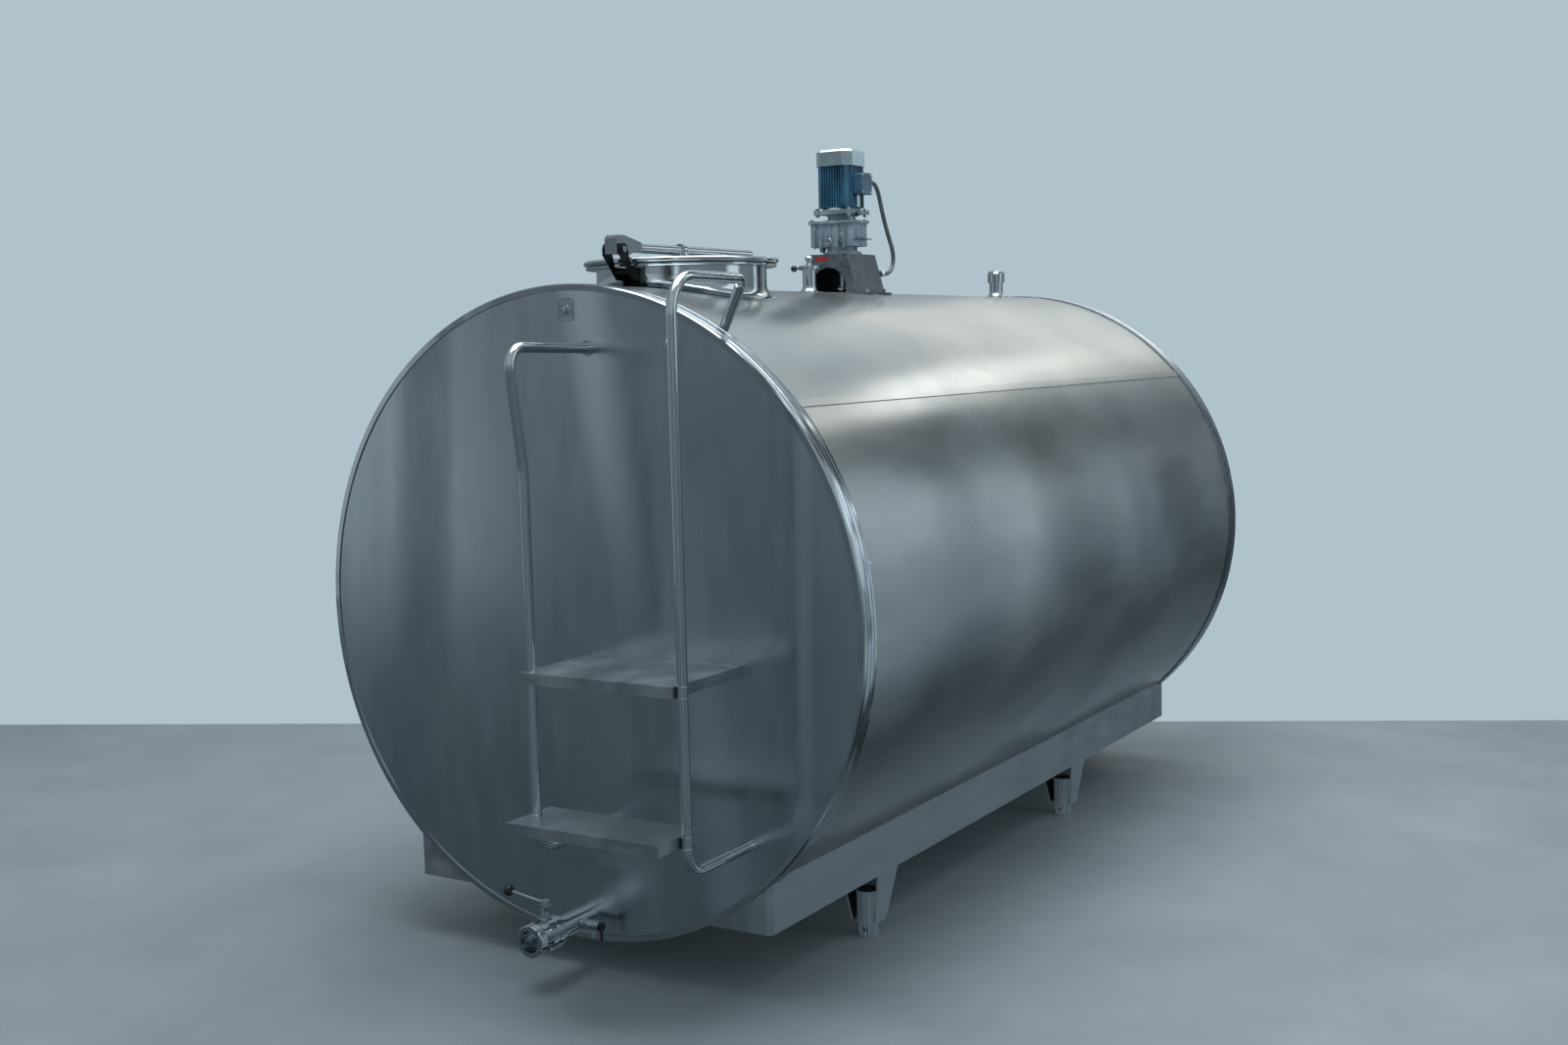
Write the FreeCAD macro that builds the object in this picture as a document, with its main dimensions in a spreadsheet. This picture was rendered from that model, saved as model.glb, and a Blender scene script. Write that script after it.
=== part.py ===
"""Bulk milk tank: a horizontal insulated cooling tank with its ladder, manhole, agitator and outlet valve.

Every sub-part is drawn in the tank's drawing frame: x to the right of someone facing the front head,
y from the front head towards the rear, z up from the tank's axis. node() then moves it into the
part's own frame, which stands on the floor with its origin under the middle of the whole object.
"""
import FreeCAD, Part
import math
import os
import Sketcher

V = FreeCAD.Vector
doc = FreeCAD.newDocument("bulk_milk_tank")

# ---------------------------------------------------------------- driving dimensions, in millimetres
DIMENSIONS = [
    ("axis_height", 873, "tank axis above the floor"),
    ("tank_length", 2694, "front head to rear head"),
    ("shell_radius", 798, "outer cladding, outside"),
    ("skin", 2, "cladding and head sheet"),
    ("gap", 0.3, "clearance of one part laid on another"),
    ("ring_radius", 802, "polished trim ring, outside"),
    ("ring_width", 59, "trim ring along the tank"),
    ("ring_lip", 16, "trim ring folded over the head"),
    ("vessel_radius", 748, "inner vessel, outside"),
    ("vessel_wall", 3, "inner vessel sheet"),
    ("vessel_inset", 50, "cladding head to vessel head"),
    ("dish_depth", 45, "crown of a vessel head"),
    ("evaporator_gap", 5, "evaporator plate on the vessel's belly"),
    ("evaporator_inset", 250, "vessel end to evaporator end"),
    ("evaporator_angle", 120, "arc of the evaporator plate"),
    ("pipe_orbit", 770, "refrigerant pipes from the axis"),
    ("pipe_spread", 60, "refrigerant pipes from the centre plane"),
    ("liquid_pipe", 8, "liquid line radius"),
    ("suction_pipe", 14, "suction line radius"),
    ("stub_length", 60, "refrigerant pipes beyond the rear head"),
    ("pipe_sleeve", 1, "extra pipe wall inside the tank"),
    ("pipe_shoulder", 6, "thick pipe beyond the rear head"),
    ("seam_angle", 50, "lap seam from the top"),
    ("seam_width", 22, "lap seam strip"),
    ("skirt_x", 539, "skirt outside, from the centre plane"),
    ("skirt_drop", 714, "skirt edge below the axis"),
    ("skirt_top", 560, "skirt blank's top below the axis"),
    ("skirt_sheet", 3, "skirt sheet"),
    ("skirt_return", 240, "skirt folded across the ends"),
    ("skirt_bend", 14, "outside radius of the skirt's fold"),
    ("leg_drop", 837, "leg foot below the axis"),
    ("leg_sheet", 4, "leg sheet"),
    ("foot_x", 505, "levelling foot from the centre plane"),
    ("front_foot_y", 530, "front feet from the front head"),
    ("rear_foot_y", 1835, "rear feet from the front head"),
    ("foot_radius", 25, "levelling foot"),
    ("foot_length", 110, "levelling foot tube"),
    ("foot_sleeve", 30, "foot sleeve outside radius"),
    ("rail_radius", 12.5, "ladder rail tube"),
    ("rail_wall", 2, "ladder rail tube wall"),
    ("left_rail_x", 67, "left rail"),
    ("right_rail_x", 487, "right rail"),
    ("rail_y", -250, "rails in front of the head"),
    ("rail_low", -507, "rail ends on the head, low"),
    ("step_left", 50, "steps, left edge"),
    ("step_right", 474, "steps, right edge"),
    ("step_sheet", 3, "step sheet"),
    ("step_fold", 26, "folded edge of a step"),
    ("upper_step_z", -86, "upper step's tread"),
    ("upper_step_y", -270, "upper step's front edge"),
    ("lower_step_z", -420, "lower step's tread"),
    ("lower_step_y", -340, "lower step's front edge"),
    ("lower_step_back", -180, "lower step's back edge"),
    ("manhole_y", 500, "manhole centre from the front head"),
    ("manhole_bore", 215, "manhole neck inside radius"),
    ("neck_wall", 2.5, "manhole neck sheet"),
    ("rim_radius", 250, "manhole rim"),
    ("rim_z", 856, "manhole rim's sealing face"),
    ("hinge_y", 212, "lid hinge pin from the front head"),
    ("hinge_z", 890, "lid hinge pin above the axis"),
    ("pin_radius", 6, "lid hinge pin"),
    ("running", 0.05, "radial clearance of a running fit"),
    ("bar_radius", 12.5, "lid bar tube"),
    ("bar_z", 896, "lid bar above the axis"),
    ("bar_end", 834, "lid bar's free end"),
    ("cip_y", 1160, "spray port from the front head"),
    ("agitator_y", 1360, "agitator axis from the front head"),
    ("vent_y", 2475, "air vent from the front head"),
    ("shaft_radius", 12.5, "agitator shaft"),
    ("shaft_bottom", -672, "agitator shaft's lower end"),
    ("paddle_reach", 200, "agitator blade from the shaft's axis"),
    ("bracket_top", 912, "agitator bracket's top"),
    ("gear_module", 1, "module of the gear teeth"),
    ("wheel_teeth", 70, "teeth of each wheel"),
    ("pinion_teeth", 14, "teeth of each pinion"),
    ("gear_top", 1005, "gearbox casting's top"),
    ("motor_half", 59, "motor across its fins, half"),
    ("motor_flange_z", 1032, "motor flange, underside"),
    ("motor_bell_z", 1052, "motor end bell, underside"),
    ("motor_top", 1174, "motor frame's top"),
    ("cowl_top", 1222, "fan cowl's top"),
    ("cowl_half", 61.5, "fan cowl across flats, half"),
    ("conduit_radius", 6.5, "motor conduit"),
    ("outlet_z", -746, "outlet pipe's axis"),
    ("outlet_bore", 25, "outlet bore radius"),
    ("union_bore", 26, "union spigot bore radius"),
    ("outlet_wall", 2, "outlet pipe wall"),
    ("valve_back", -100, "outlet valve's rear face"),
    ("valve_y", -152, "outlet valve's stem"),
    ("outlet_end", -215, "outlet union's mouth"),
    ("cock_y", -45, "sample cock on the outlet pipe"),
]

sheet = doc.addObject("Spreadsheet::Sheet", "Dims")
for row, (alias, number, note) in enumerate(DIMENSIONS, start=1):
    sheet.set(f"A{row}", note)
    sheet.set(f"B{row}", str(number))
    sheet.setAlias(f"B{row}", alias)
doc.recompute()


class Size:
    """A length that knows its number and the expression that ties it to the sheet."""

    def __init__(self, number, text):
        self.number = number
        self.text = text

    def combine(self, other, sign, number, swapped=False):
        text = as_size(other).text
        first, second = (text, self.text) if swapped else (self.text, text)
        return Size(number, f"({first} {sign} {second})")

    def __add__(self, other):
        return self.combine(other, "+", self.number + as_size(other).number)

    def __radd__(self, other):
        return self.combine(other, "+", as_size(other).number + self.number, swapped=True)

    def __sub__(self, other):
        return self.combine(other, "-", self.number - as_size(other).number)

    def __rsub__(self, other):
        return self.combine(other, "-", as_size(other).number - self.number, swapped=True)

    def __mul__(self, other):
        return self.combine(other, "*", self.number * as_size(other).number)

    def __rmul__(self, other):
        return self.combine(other, "*", as_size(other).number * self.number, swapped=True)

    def __truediv__(self, other):
        return self.combine(other, "/", self.number / as_size(other).number)

    def __neg__(self):
        return Size(-self.number, f"(0 - {self.text})")


def as_size(value):
    return value if isinstance(value, Size) else Size(float(value), f"{float(value):.6g}")


def leg_of(hypotenuse, leg):
    """The other leg of a right triangle: where a wall at this offset meets a round shell."""
    h, a = as_size(hypotenuse), as_size(leg)
    number = math.sqrt(h.number ** 2 - a.number ** 2)
    return Size(number, f"sqrt({h.text} * {h.text} - {a.text} * {a.text})")


class Dimensions:
    """The sheet's cells as sizes: dim.shell_radius and so on."""

    def __getattr__(self, alias):
        return Size(float(sheet.get(alias)), f"Dims.{alias}")


dim = Dimensions()


def bind(thing, path, value):
    """Tie one property of a document object to the sheet."""
    if isinstance(value, Size):
        thing.setExpression(path, value.text)


def assign(thing, name, value):
    setattr(thing, name, as_size(value).number)
    bind(thing, name, value)


TURNS = {
    "z": FreeCAD.Rotation(),
    "y": FreeCAD.Rotation(V(1, 0, 0), -90),
    "x": FreeCAD.Rotation(V(0, 1, 0), 90),
}
places = {}


def place(thing, at, turn=None):
    """Put an object in the drawing frame, and remember where for node()."""
    numbers = [as_size(a).number for a in at]
    thing.Placement = FreeCAD.Placement(V(*numbers), turn or FreeCAD.Rotation())
    for letter, value in zip("xyz", at):
        bind(thing, f"Placement.Base.{letter}", value)
    places[thing.Name] = at
    return thing


# ---------------------------------------------------------------- primitives and booleans
def cylinder(radius, length, at=(0, 0, 0), along="z"):
    thing = doc.addObject("Part::Cylinder", "cylinder")
    assign(thing, "Radius", radius)
    assign(thing, "Height", length)
    return place(thing, at, TURNS[along])


def box(corner, size):
    thing = doc.addObject("Part::Box", "box")
    for name, value in zip(("Length", "Width", "Height"), size):
        assign(thing, name, value)
    return place(thing, corner)


def ball(radius, at):
    thing = doc.addObject("Part::Sphere", "ball")
    assign(thing, "Radius", radius)
    return place(thing, at)


def torus(radius, thickness, at):
    thing = doc.addObject("Part::Torus", "torus")
    assign(thing, "Radius1", radius)
    assign(thing, "Radius2", thickness)
    return place(thing, at)


def hexagon(radius, length, at, along="z"):
    thing = doc.addObject("Part::Prism", "hexagon")
    thing.Polygon = 6
    assign(thing, "Circumradius", radius)
    assign(thing, "Height", length)
    return place(thing, at, TURNS[along])


def fuse(*parts):
    thing = doc.addObject("Part::MultiFuse", "fuse")
    thing.Shapes = list(parts)
    return thing


def cut(base, *tools):
    thing = doc.addObject("Part::Cut", "cut")
    thing.Base = base
    thing.Tool = tools[0] if len(tools) == 1 else fuse(*tools)
    return thing


def group(*parts):
    """Separate solids that share one node, such as a set of bolts."""
    thing = doc.addObject("Part::Compound", "group")
    thing.Links = list(parts)
    return thing


def tube(outer, inner, length, at, along="z"):
    return cut(cylinder(outer, length, at, along), cylinder(inner, length, at, along))


# ---------------------------------------------------------------- sketched bodies
def arc(end, radius, turn):
    """An outline step: a short arc to end, turning left (1) or right (-1)."""
    return {"end": end, "radius": radius, "turn": turn}


def arc_points(start, end, radius, turn):
    """Middle point of the short arc between two points."""
    half = (end - start) * 0.5
    height = math.sqrt(max(radius ** 2 - half.Length ** 2, 0))
    side = V(-half.y, half.x, 0).normalize() * turn
    centre = start + half + side * height
    return centre - side * radius


def sketch(body, role, outlines, lift=0):
    """A fully constrained sketch of closed outlines, each corner tied to the sheet."""
    plane = [f for f in body.Origin.OriginFeatures if f.Role == role][0]
    drawing = body.newObject("Sketcher::SketchObject", "sketch")
    drawing.AttachmentSupport = [(plane, "")]
    drawing.MapMode = "FlatFace"
    drawing.AttachmentOffset = FreeCAD.Placement(V(0, 0, as_size(lift).number), FreeCAD.Rotation())
    bind(drawing, "AttachmentOffset.Base.z", lift)
    for outline in outlines:
        draw_outline(drawing, outline)
    return drawing


def draw_outline(drawing, outline):
    steps = [s if isinstance(s, dict) else {"end": s} for s in outline]
    corners = [V(as_size(s["end"][0]).number, as_size(s["end"][1]).number, 0) for s in steps]
    edges = []
    for index, step in enumerate(steps):
        start, end = corners[index - 1], corners[index]
        if "radius" not in step:
            edges.append((drawing.addGeometry(Part.LineSegment(start, end), False), 1, 2))
            continue
        radius = as_size(step["radius"]).number
        middle = arc_points(start, end, radius, step["turn"])
        geometry = drawing.addGeometry(Part.Arc(start, middle, end), False)
        first = 1 if (drawing.getPoint(geometry, 1) - start).Length < 1e-4 else 2
        edges.append((geometry, first, 3 - first))
        rule = drawing.addConstraint(Sketcher.Constraint("Radius", geometry, radius))
        bind(drawing, f"Constraints[{rule}]", step["radius"])
    for index, step in enumerate(steps):
        edge, _, last = edges[index]
        following, first, _ = edges[(index + 1) % len(edges)]
        drawing.addConstraint(Sketcher.Constraint("Coincident", edge, last, following, first))
        for kind, value, number in zip(("DistanceX", "DistanceY"), step["end"], corners[index]):
            rule = drawing.addConstraint(Sketcher.Constraint(kind, -1, 1, edge, last, number))
            bind(drawing, f"Constraints[{rule}]", value)


def turned(outline, at=(0, 0, 0), axis="z", angle=360):
    """A solid of revolution: (radius, height) about z, or (y, radius) about the tank's axis."""
    body = doc.addObject("PartDesign::Body", "turned")
    role, axis_name = ("XZ_Plane", "V_Axis") if axis == "z" else ("YZ_Plane", "H_Axis")
    drawing = sketch(body, role, [outline])
    feature = body.newObject("PartDesign::Revolution", "revolution")
    feature.Profile = drawing
    feature.ReferenceAxis = (drawing, [axis_name])
    feature.Midplane = True
    assign(feature, "Angle", angle)
    return place(body, at)


def padded(role, outlines, length, at=(0, 0, 0), lift=0, chamfer=None):
    """A sheet or block: outlines drawn on a plane and padded to both sides of it."""
    body = doc.addObject("PartDesign::Body", "padded")
    drawing = sketch(body, role, outlines, lift)
    feature = body.newObject("PartDesign::Pad", "pad")
    feature.Profile = drawing
    feature.SideType = "Symmetric"
    assign(feature, "Length", length)
    if chamfer:
        doc.recompute()
        edges, size = chamfer
        names = [f"Edge{i + 1}" for i, e in enumerate(feature.Shape.Edges) if edges(e)]
        bevel = body.newObject("PartDesign::Chamfer", "chamfer")
        bevel.Base = (feature, names)
        assign(bevel, "Size", size)
    return place(body, at)


def lofted(low, high):
    """A block between two outlines, each (height, outline)."""
    body = doc.addObject("PartDesign::Body", "lofted")
    drawings = [sketch(body, "XY_Plane", [outline], height) for height, outline in (low, high)]
    feature = body.newObject("PartDesign::AdditiveLoft", "loft")
    feature.Profile = drawings[0]
    feature.Sections = [drawings[1]]
    feature.Ruled = True
    return body


def rectangle(x_low, x_high, y_low, y_high):
    return [(x_low, y_low), (x_high, y_low), (x_high, y_high), (x_low, y_high)]


def rounded(x_low, x_high, y_low, y_high, radius):
    """A rectangle with round corners, drawn left-handed round."""
    return [
        (x_high - radius, y_low),
        arc((x_high, y_low + radius), radius, 1),
        (x_high, y_high - radius),
        arc((x_high - radius, y_high), radius, 1),
        (x_low + radius, y_high),
        arc((x_low, y_high - radius), radius, 1),
        (x_low, y_low + radius),
        arc((x_low + radius, y_low), radius, 1),
    ]


# ---------------------------------------------------------------- bent tubes
def rounded_path(points, radii):
    """Straight runs joined by tangent arcs, one radius for each inner point."""
    edges = []
    start = points[0]
    for before, corner, after, radius in zip(points, points[1:], points[2:], radii):
        back = (before - corner).normalize()
        ahead = (after - corner).normalize()
        half_turn = (math.pi - back.getAngle(ahead)) / 2
        reach = radius * math.tan(half_turn)
        into, out = corner + back * reach, corner + ahead * reach
        bisector = (back + ahead).normalize()
        middle = corner + bisector * (radius / math.cos(half_turn) - radius)
        edges.append(Part.LineSegment(start, into).toShape())
        edges.append(Part.Arc(into, middle, out).toShape())
        start = out
    edges.append(Part.LineSegment(start, points[-1]).toShape())
    return Part.Wire(edges)


def swept(points, radii, radius):
    """A round bar bent along a path."""
    path = doc.addObject("Part::Feature", "path")
    path.Shape = rounded_path(points, radii)
    section = doc.addObject("Part::Circle", "section")
    assign(section, "Radius", radius)
    section.Placement = FreeCAD.Placement(points[0], FreeCAD.Rotation(V(0, 0, 1), points[1] - points[0]))
    sweep = doc.addObject("Part::Sweep", "sweep")
    sweep.Sections = [section]
    sweep.Spine = (path, [f"Edge{i + 1}" for i in range(len(path.Shape.Edges))])
    sweep.Solid = True
    sweep.Frenet = False
    sweep.Transition = "Right corner"
    return sweep


def bent_tube(points, radii):
    """A ladder rail: the sheet's tube, hollow."""
    bore = dim.rail_radius - dim.rail_wall
    return cut(swept(points, radii, dim.rail_radius), swept(points, radii, bore))


# ---------------------------------------------------------------- nodes
nodes = []
middle_y = (dim.tank_length + dim.stub_length + dim.lower_step_y) / 2


def node(thing, label):
    """Name a sub-part and move it from the drawing frame into the part's frame."""
    x, y, z = places.get(thing.Name, (0, 0, 0))
    turn = thing.Placement.Rotation
    place(thing, (x, y - middle_y, z + dim.axis_height), turn)
    thing.Label = label
    nodes.append(thing)


def dished(radius, low, high):
    """A round bar along the tank, each end part of a ball centred on the tank's axis."""
    depth = dim.dish_depth
    crown = (radius * radius + depth * depth) / (depth * 2)
    outline = [
        (low, 0),
        arc((low + depth, radius), crown, -1),
        (high - depth, radius),
        arc((high, 0), crown, -1),
    ]
    return turned(outline, axis="y")


def vessel_form(extra=0):
    """A solid of the inner vessel's outside, grown all round by extra."""
    low, high = dim.vessel_inset - extra, dim.tank_length - dim.vessel_inset + extra
    return dished(dim.vessel_radius + extra, low, high)


def flared_form(y, radius, top, flare):
    """A neck standing on the cladding, with its foot pulled out in a fillet."""
    reach = 6 * flare
    joined = fuse(
        cylinder(dim.shell_radius + dim.gap, 2 * (radius + reach), (0, y - radius - reach, 0), "y"),
        cylinder(radius, top, (0, y, 0)),
    )
    doc.recompute()
    foot = []
    for index, edge in enumerate(joined.Shape.Edges):
        closest = min(vertex.Point.z for vertex in edge.Vertexes)
        if edge.Curve.TypeId == "Part::GeomBSplineCurve" and closest > 0:
            foot.append(index + 1)
    size = as_size(flare).number
    fillet = doc.addObject("Part::Fillet", "fillet")
    fillet.Base = joined
    fillet.Edges = [(index, size, size) for index in foot]
    return cut(fillet, cylinder(dim.shell_radius + dim.gap, dim.tank_length, (0, 0, 0), "y"))


def port(y, bore, radius, flare, top, ferrule=()):
    """A welded port: a flared neck on the cladding and its tube down to the inner vessel."""
    low, foot = dim.shell_radius - 8, dim.shell_radius + 1
    neck = turned(
        [
            (0, low),
            (radius + flare, low),
            (radius + flare, foot),
            arc((radius, foot + flare), flare, -1),
            *(ferrule or [(radius, top)]),
            (0, top),
        ],
        at=(0, y, 0),
    )
    seated = cut(neck, cylinder(dim.shell_radius + dim.gap, dim.tank_length, (0, 0, 0), "y"))
    pipe_low = dim.vessel_radius - 20
    pipe = cut(cylinder(radius, foot + 4 - pipe_low, (0, y, pipe_low)), vessel_form())
    return cut(fuse(seated, pipe), cylinder(bore, top, (0, y, 0)))


# ---------------------------------------------------------------- cladding, vessel and insulation
port_radii = {"cip": 20, "agitator": 25, "vent": 24}
port_places = {"cip": dim.cip_y, "agitator": dim.agitator_y, "vent": dim.vent_y}


def top_holes(extra, manhole_radius):
    """Cutters for the manhole and the three ports, up through the top of the tank."""
    holes = [cylinder(manhole_radius + extra, dim.shell_radius + 10, (0, dim.manhole_y, 0))]
    for name, radius in port_radii.items():
        holes.append(cylinder(radius + extra, dim.shell_radius + 10, (0, port_places[name], 0)))
    return holes


def outlet_hole(extra, length):
    return cylinder(dim.outlet_bore + dim.outlet_wall + extra, length, (0, -5, dim.outlet_z), "y")


def refrigerant_pair(extra, start, end):
    """The two refrigerant lines' outsides, along the tank between two places."""
    pair = []
    for side, radius in ((-1, dim.liquid_pipe), (1, dim.suction_pipe)):
        height = -leg_of(dim.pipe_orbit, dim.pipe_spread)
        outside = radius + dim.pipe_sleeve + extra
        pair.append(cylinder(outside, end - start, (side * dim.pipe_spread, start, height), "y"))
    return pair


def sheet_joint(degrees):
    """A thin radial cutter where two cladding sheets meet, measured from the top."""
    width, height = dim.gap.number, 20
    turn = FreeCAD.Rotation(V(0, 1, 0), degrees)
    corner = V(-width / 2, 0, dim.shell_radius.number - height / 2)
    cutter = doc.addObject("Part::Box", "sheet_joint")
    assign(cutter, "Length", dim.gap)
    assign(cutter, "Width", dim.tank_length)
    assign(cutter, "Height", height)
    cutter.Placement = FreeCAD.Placement(turn.multVec(corner), turn)
    return cutter


neck_radius = dim.manhole_bore + dim.neck_wall
shell = cut(
    cylinder(dim.shell_radius, dim.tank_length, (0, 0, 0), "y"),
    cylinder(dim.shell_radius - dim.skin, dim.tank_length, (0, 0, 0), "y"),
    *top_holes(dim.gap, neck_radius),
    *[sheet_joint(angle) for angle in (dim.seam_angle.number, -dim.seam_angle.number, 180)],
)
node(shell, "outer_shell")

head_radius = dim.shell_radius - dim.skin - dim.gap
node(cut(cylinder(head_radius, dim.skin, (0, 0, 0), "y"), outlet_hole(0, 20)), "front_head")
rear_face = dim.tank_length
rear_start = rear_face - dim.skin
rear_head = cut(
    cylinder(head_radius, dim.skin, (0, rear_start, 0), "y"),
    *refrigerant_pair(0, rear_start - 5, rear_face + 5),
)
node(rear_head, "rear_head")

vessel_end = dim.tank_length - dim.vessel_inset
port_bores = {"cip": 17, "agitator": 22, "vent": 21}
vessel_tools = [cylinder(dim.manhole_bore, dim.shell_radius, (0, dim.manhole_y, 0))]
for name, radius in port_bores.items():
    vessel_tools.append(cylinder(radius, dim.shell_radius, (0, port_places[name], 0)))
sump_end = dim.vessel_inset + dim.dish_depth + 75
vessel_tools.append(cylinder(dim.outlet_bore, sump_end, (0, 0, dim.outlet_z), "y"))
node(cut(vessel_form(), vessel_form(0 - dim.vessel_wall), *vessel_tools), "inner_vessel")

foam_radius = dim.vessel_radius + dim.evaporator_gap + 1.3
foam_start = dim.skin + dim.gap
pipe_start = vessel_end - dim.evaporator_inset - 20
foam = cut(
    cylinder(head_radius, dim.tank_length - 2 * foam_start, (0, foam_start, 0), "y"),
    dished(foam_radius, dim.vessel_inset - dim.gap, vessel_end + dim.gap),
    outlet_hole(dim.gap, sump_end + 10),
    *refrigerant_pair(dim.gap, pipe_start - 16, rear_face),
    box((-90, pipe_start - 20, -790), (180, 40, 50)),
    *top_holes(dim.gap, neck_radius),
)
node(foam, "insulation_foam")

plate_start = dim.vessel_inset + dim.dish_depth + dim.evaporator_inset - 95
plate_low = dim.vessel_radius + dim.gap
plate_high = dim.vessel_radius + dim.evaporator_gap
plate_outline = [
    (plate_start, -plate_high),
    (pipe_start + 20, -plate_high),
    (pipe_start + 20, -plate_low),
    (plate_start, -plate_low),
]
lines = [turned(plate_outline, axis="y", angle=dim.evaporator_angle)]
for side, radius in ((-1, dim.liquid_pipe), (1, dim.suction_pipe)):
    height = -leg_of(dim.pipe_orbit, dim.pipe_spread)
    run = rear_face + dim.stub_length - pipe_start
    thick_run = rear_face + dim.pipe_shoulder - pipe_start
    line = fuse(
        cylinder(radius + dim.pipe_sleeve, thick_run, (side * dim.pipe_spread, pipe_start, height), "y"),
        cylinder(radius, dim.stub_length, (side * dim.pipe_spread, rear_face, height), "y"),
        cylinder(radius, 30, (side * dim.pipe_spread, pipe_start, height)),
    )
    bore = cylinder(radius - 1, run, (side * dim.pipe_spread, pipe_start, height), "y")
    belly = cylinder(plate_high + dim.gap, run, (0, pipe_start - 60, 0), "y")
    lines.append(cut(line, fuse(belly, bore)))
node(group(*lines), "evaporator")


# ---------------------------------------------------------------- trim rings, seams
def trim_ring(start, direction):
    """A polished beaded band round the cladding's end, its lip folded over the head."""
    outer, inner = dim.ring_radius, dim.shell_radius + dim.gap
    lip = dim.ring_radius - dim.ring_lip
    steps = [(-dim.gap, lip), (-3, lip), (-3, outer - 3), (0, outer)]
    for groove in (14, 29, 44):
        steps += [(groove, outer), (groove + 1.5, outer - 1.5), (groove + 3, outer)]
    steps += [(dim.ring_width, outer), (dim.ring_width, inner), (-dim.gap, inner)]
    return turned([(start + direction * y, r) for y, r in steps], axis="y")


node(trim_ring(as_size(0), 1), "front_trim_ring")
node(trim_ring(rear_face, -1), "rear_trim_ring")

seams = []
strip_length = dim.tank_length - 2 * dim.ring_width - 4
for side in (-1, 1):
    strip = cut(
        cylinder(dim.shell_radius + 2, strip_length, (0, dim.ring_width + 2, 0), "y"),
        cylinder(dim.shell_radius + dim.gap, dim.tank_length, (0, 0, 0), "y"),
    )
    angle = math.radians(dim.seam_angle.number)
    centre = V(side * math.sin(angle), 0, math.cos(angle)) * dim.shell_radius.number
    window = doc.addObject("Part::Box", "window")
    assign(window, "Length", dim.seam_width)
    assign(window, "Width", dim.tank_length)
    assign(window, "Height", 20)
    turn = FreeCAD.Rotation(V(0, 1, 0), side * dim.seam_angle.number)
    window.Placement = FreeCAD.Placement(centre - turn.multVec(V(dim.seam_width.number / 2, 0, 10)), turn)
    common = doc.addObject("Part::Common", "seam")
    common.Base = strip
    common.Tool = window
    seams.append(common)
node(group(*seams), "shell_seam_strips")


# ---------------------------------------------------------------- skirts, legs and feet
def skirt(side):
    """A sheet along one side, folded across both ends and trimmed to the cladding."""
    bend, sheet_t = dim.skirt_bend, dim.skirt_sheet
    outer = side * dim.skirt_x
    front, back = as_size(4), dim.tank_length - 4
    inner_end = side * (dim.skirt_x - dim.skirt_return)
    turn = side
    outline = [
        (inner_end, front),
        (outer - side * bend, front),
        arc((outer, front + bend), bend, turn),
        (outer, back - bend),
        arc((outer - side * bend, back), bend, turn),
        (inner_end, back),
        (inner_end, back - sheet_t),
        (outer - side * bend, back - sheet_t),
        arc((outer - side * sheet_t, back - bend), bend - sheet_t, -turn),
        (outer - side * sheet_t, front + bend),
        arc((outer - side * bend, front + sheet_t), bend - sheet_t, -turn),
        (inner_end, front + sheet_t),
    ]
    height = dim.skirt_drop - dim.skirt_top
    blank = padded("XY_Plane", [outline], height, lift=-(dim.skirt_drop + dim.skirt_top) / 2)
    ring_form = dim.ring_radius + dim.gap
    return cut(
        blank,
        cylinder(dim.shell_radius + dim.gap, dim.tank_length, (0, 0, 0), "y"),
        cylinder(ring_form, dim.ring_width + 5, (0, -5, 0), "y"),
        cylinder(ring_form, dim.ring_width + 5, (0, dim.tank_length - dim.ring_width, 0), "y"),
    )


def leg(side, foot_y):
    """A tapered channel, open to the front, with the sleeve that its levelling foot slides in."""
    outer = side * (dim.skirt_x - dim.skirt_sheet - dim.gap)
    t = dim.leg_sheet
    low, high = -dim.leg_drop, -dim.skirt_top
    low_inner, high_inner = side * 466, side * 376
    low_front, low_back = foot_y - 18, foot_y + 39
    high_front, high_back = foot_y + 20, foot_y + 199
    block = lofted((low, rectangle(low_inner, outer, low_front, low_back)),
                   (high, rectangle(high_inner, outer, high_front, high_back)))
    hollow = lofted(
        (low, rectangle(low_inner + side * t, outer - side * t, low_front - 60, low_back - t)),
        (high, rectangle(high_inner + side * t, outer - side * t, high_front - 60, high_back - t)),
    )
    sleeve_x = side * dim.foot_x
    sleeve_top = -dim.axis_height + dim.foot_length + 10
    sleeve = cylinder(dim.foot_sleeve, sleeve_top - low, (sleeve_x, foot_y, low))
    bore_top = -dim.axis_height + dim.foot_length + 1
    bore = cylinder(dim.foot_radius + dim.gap, bore_top - low, (sleeve_x, foot_y, low))
    shell_bar = cylinder(dim.shell_radius + dim.gap, dim.tank_length, (0, 0, 0), "y")
    return cut(fuse(cut(block, hollow), sleeve), fuse(bore, shell_bar))


def foot(side, foot_y):
    """A round levelling foot with a chamfered tread and a cross hole for a tommy bar."""
    low = -dim.axis_height
    r = dim.foot_radius
    stem_top = low + dim.foot_length
    stem_outline = [(0, low), (r - 2, low), (r, low + 2), (r, stem_top), (0, stem_top)]
    stem = turned(stem_outline,
                  at=(side * dim.foot_x, foot_y, 0))
    bar_hole = cylinder(6, 4 * r, (side * dim.foot_x, foot_y - 2 * r, low + 19), "y")
    return cut(stem, bar_hole)


legs = []
for side, side_name in ((-1, "left"), (1, "right")):
    node(skirt(side), f"{side_name}_skirt")
    for foot_y, end_name in ((dim.front_foot_y, "front"), (dim.rear_foot_y, "rear")):
        legs.append(leg(side, foot_y))
        node(foot(side, foot_y), f"{end_name}_{side_name}_foot")
node(group(*legs), "legs")


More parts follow.
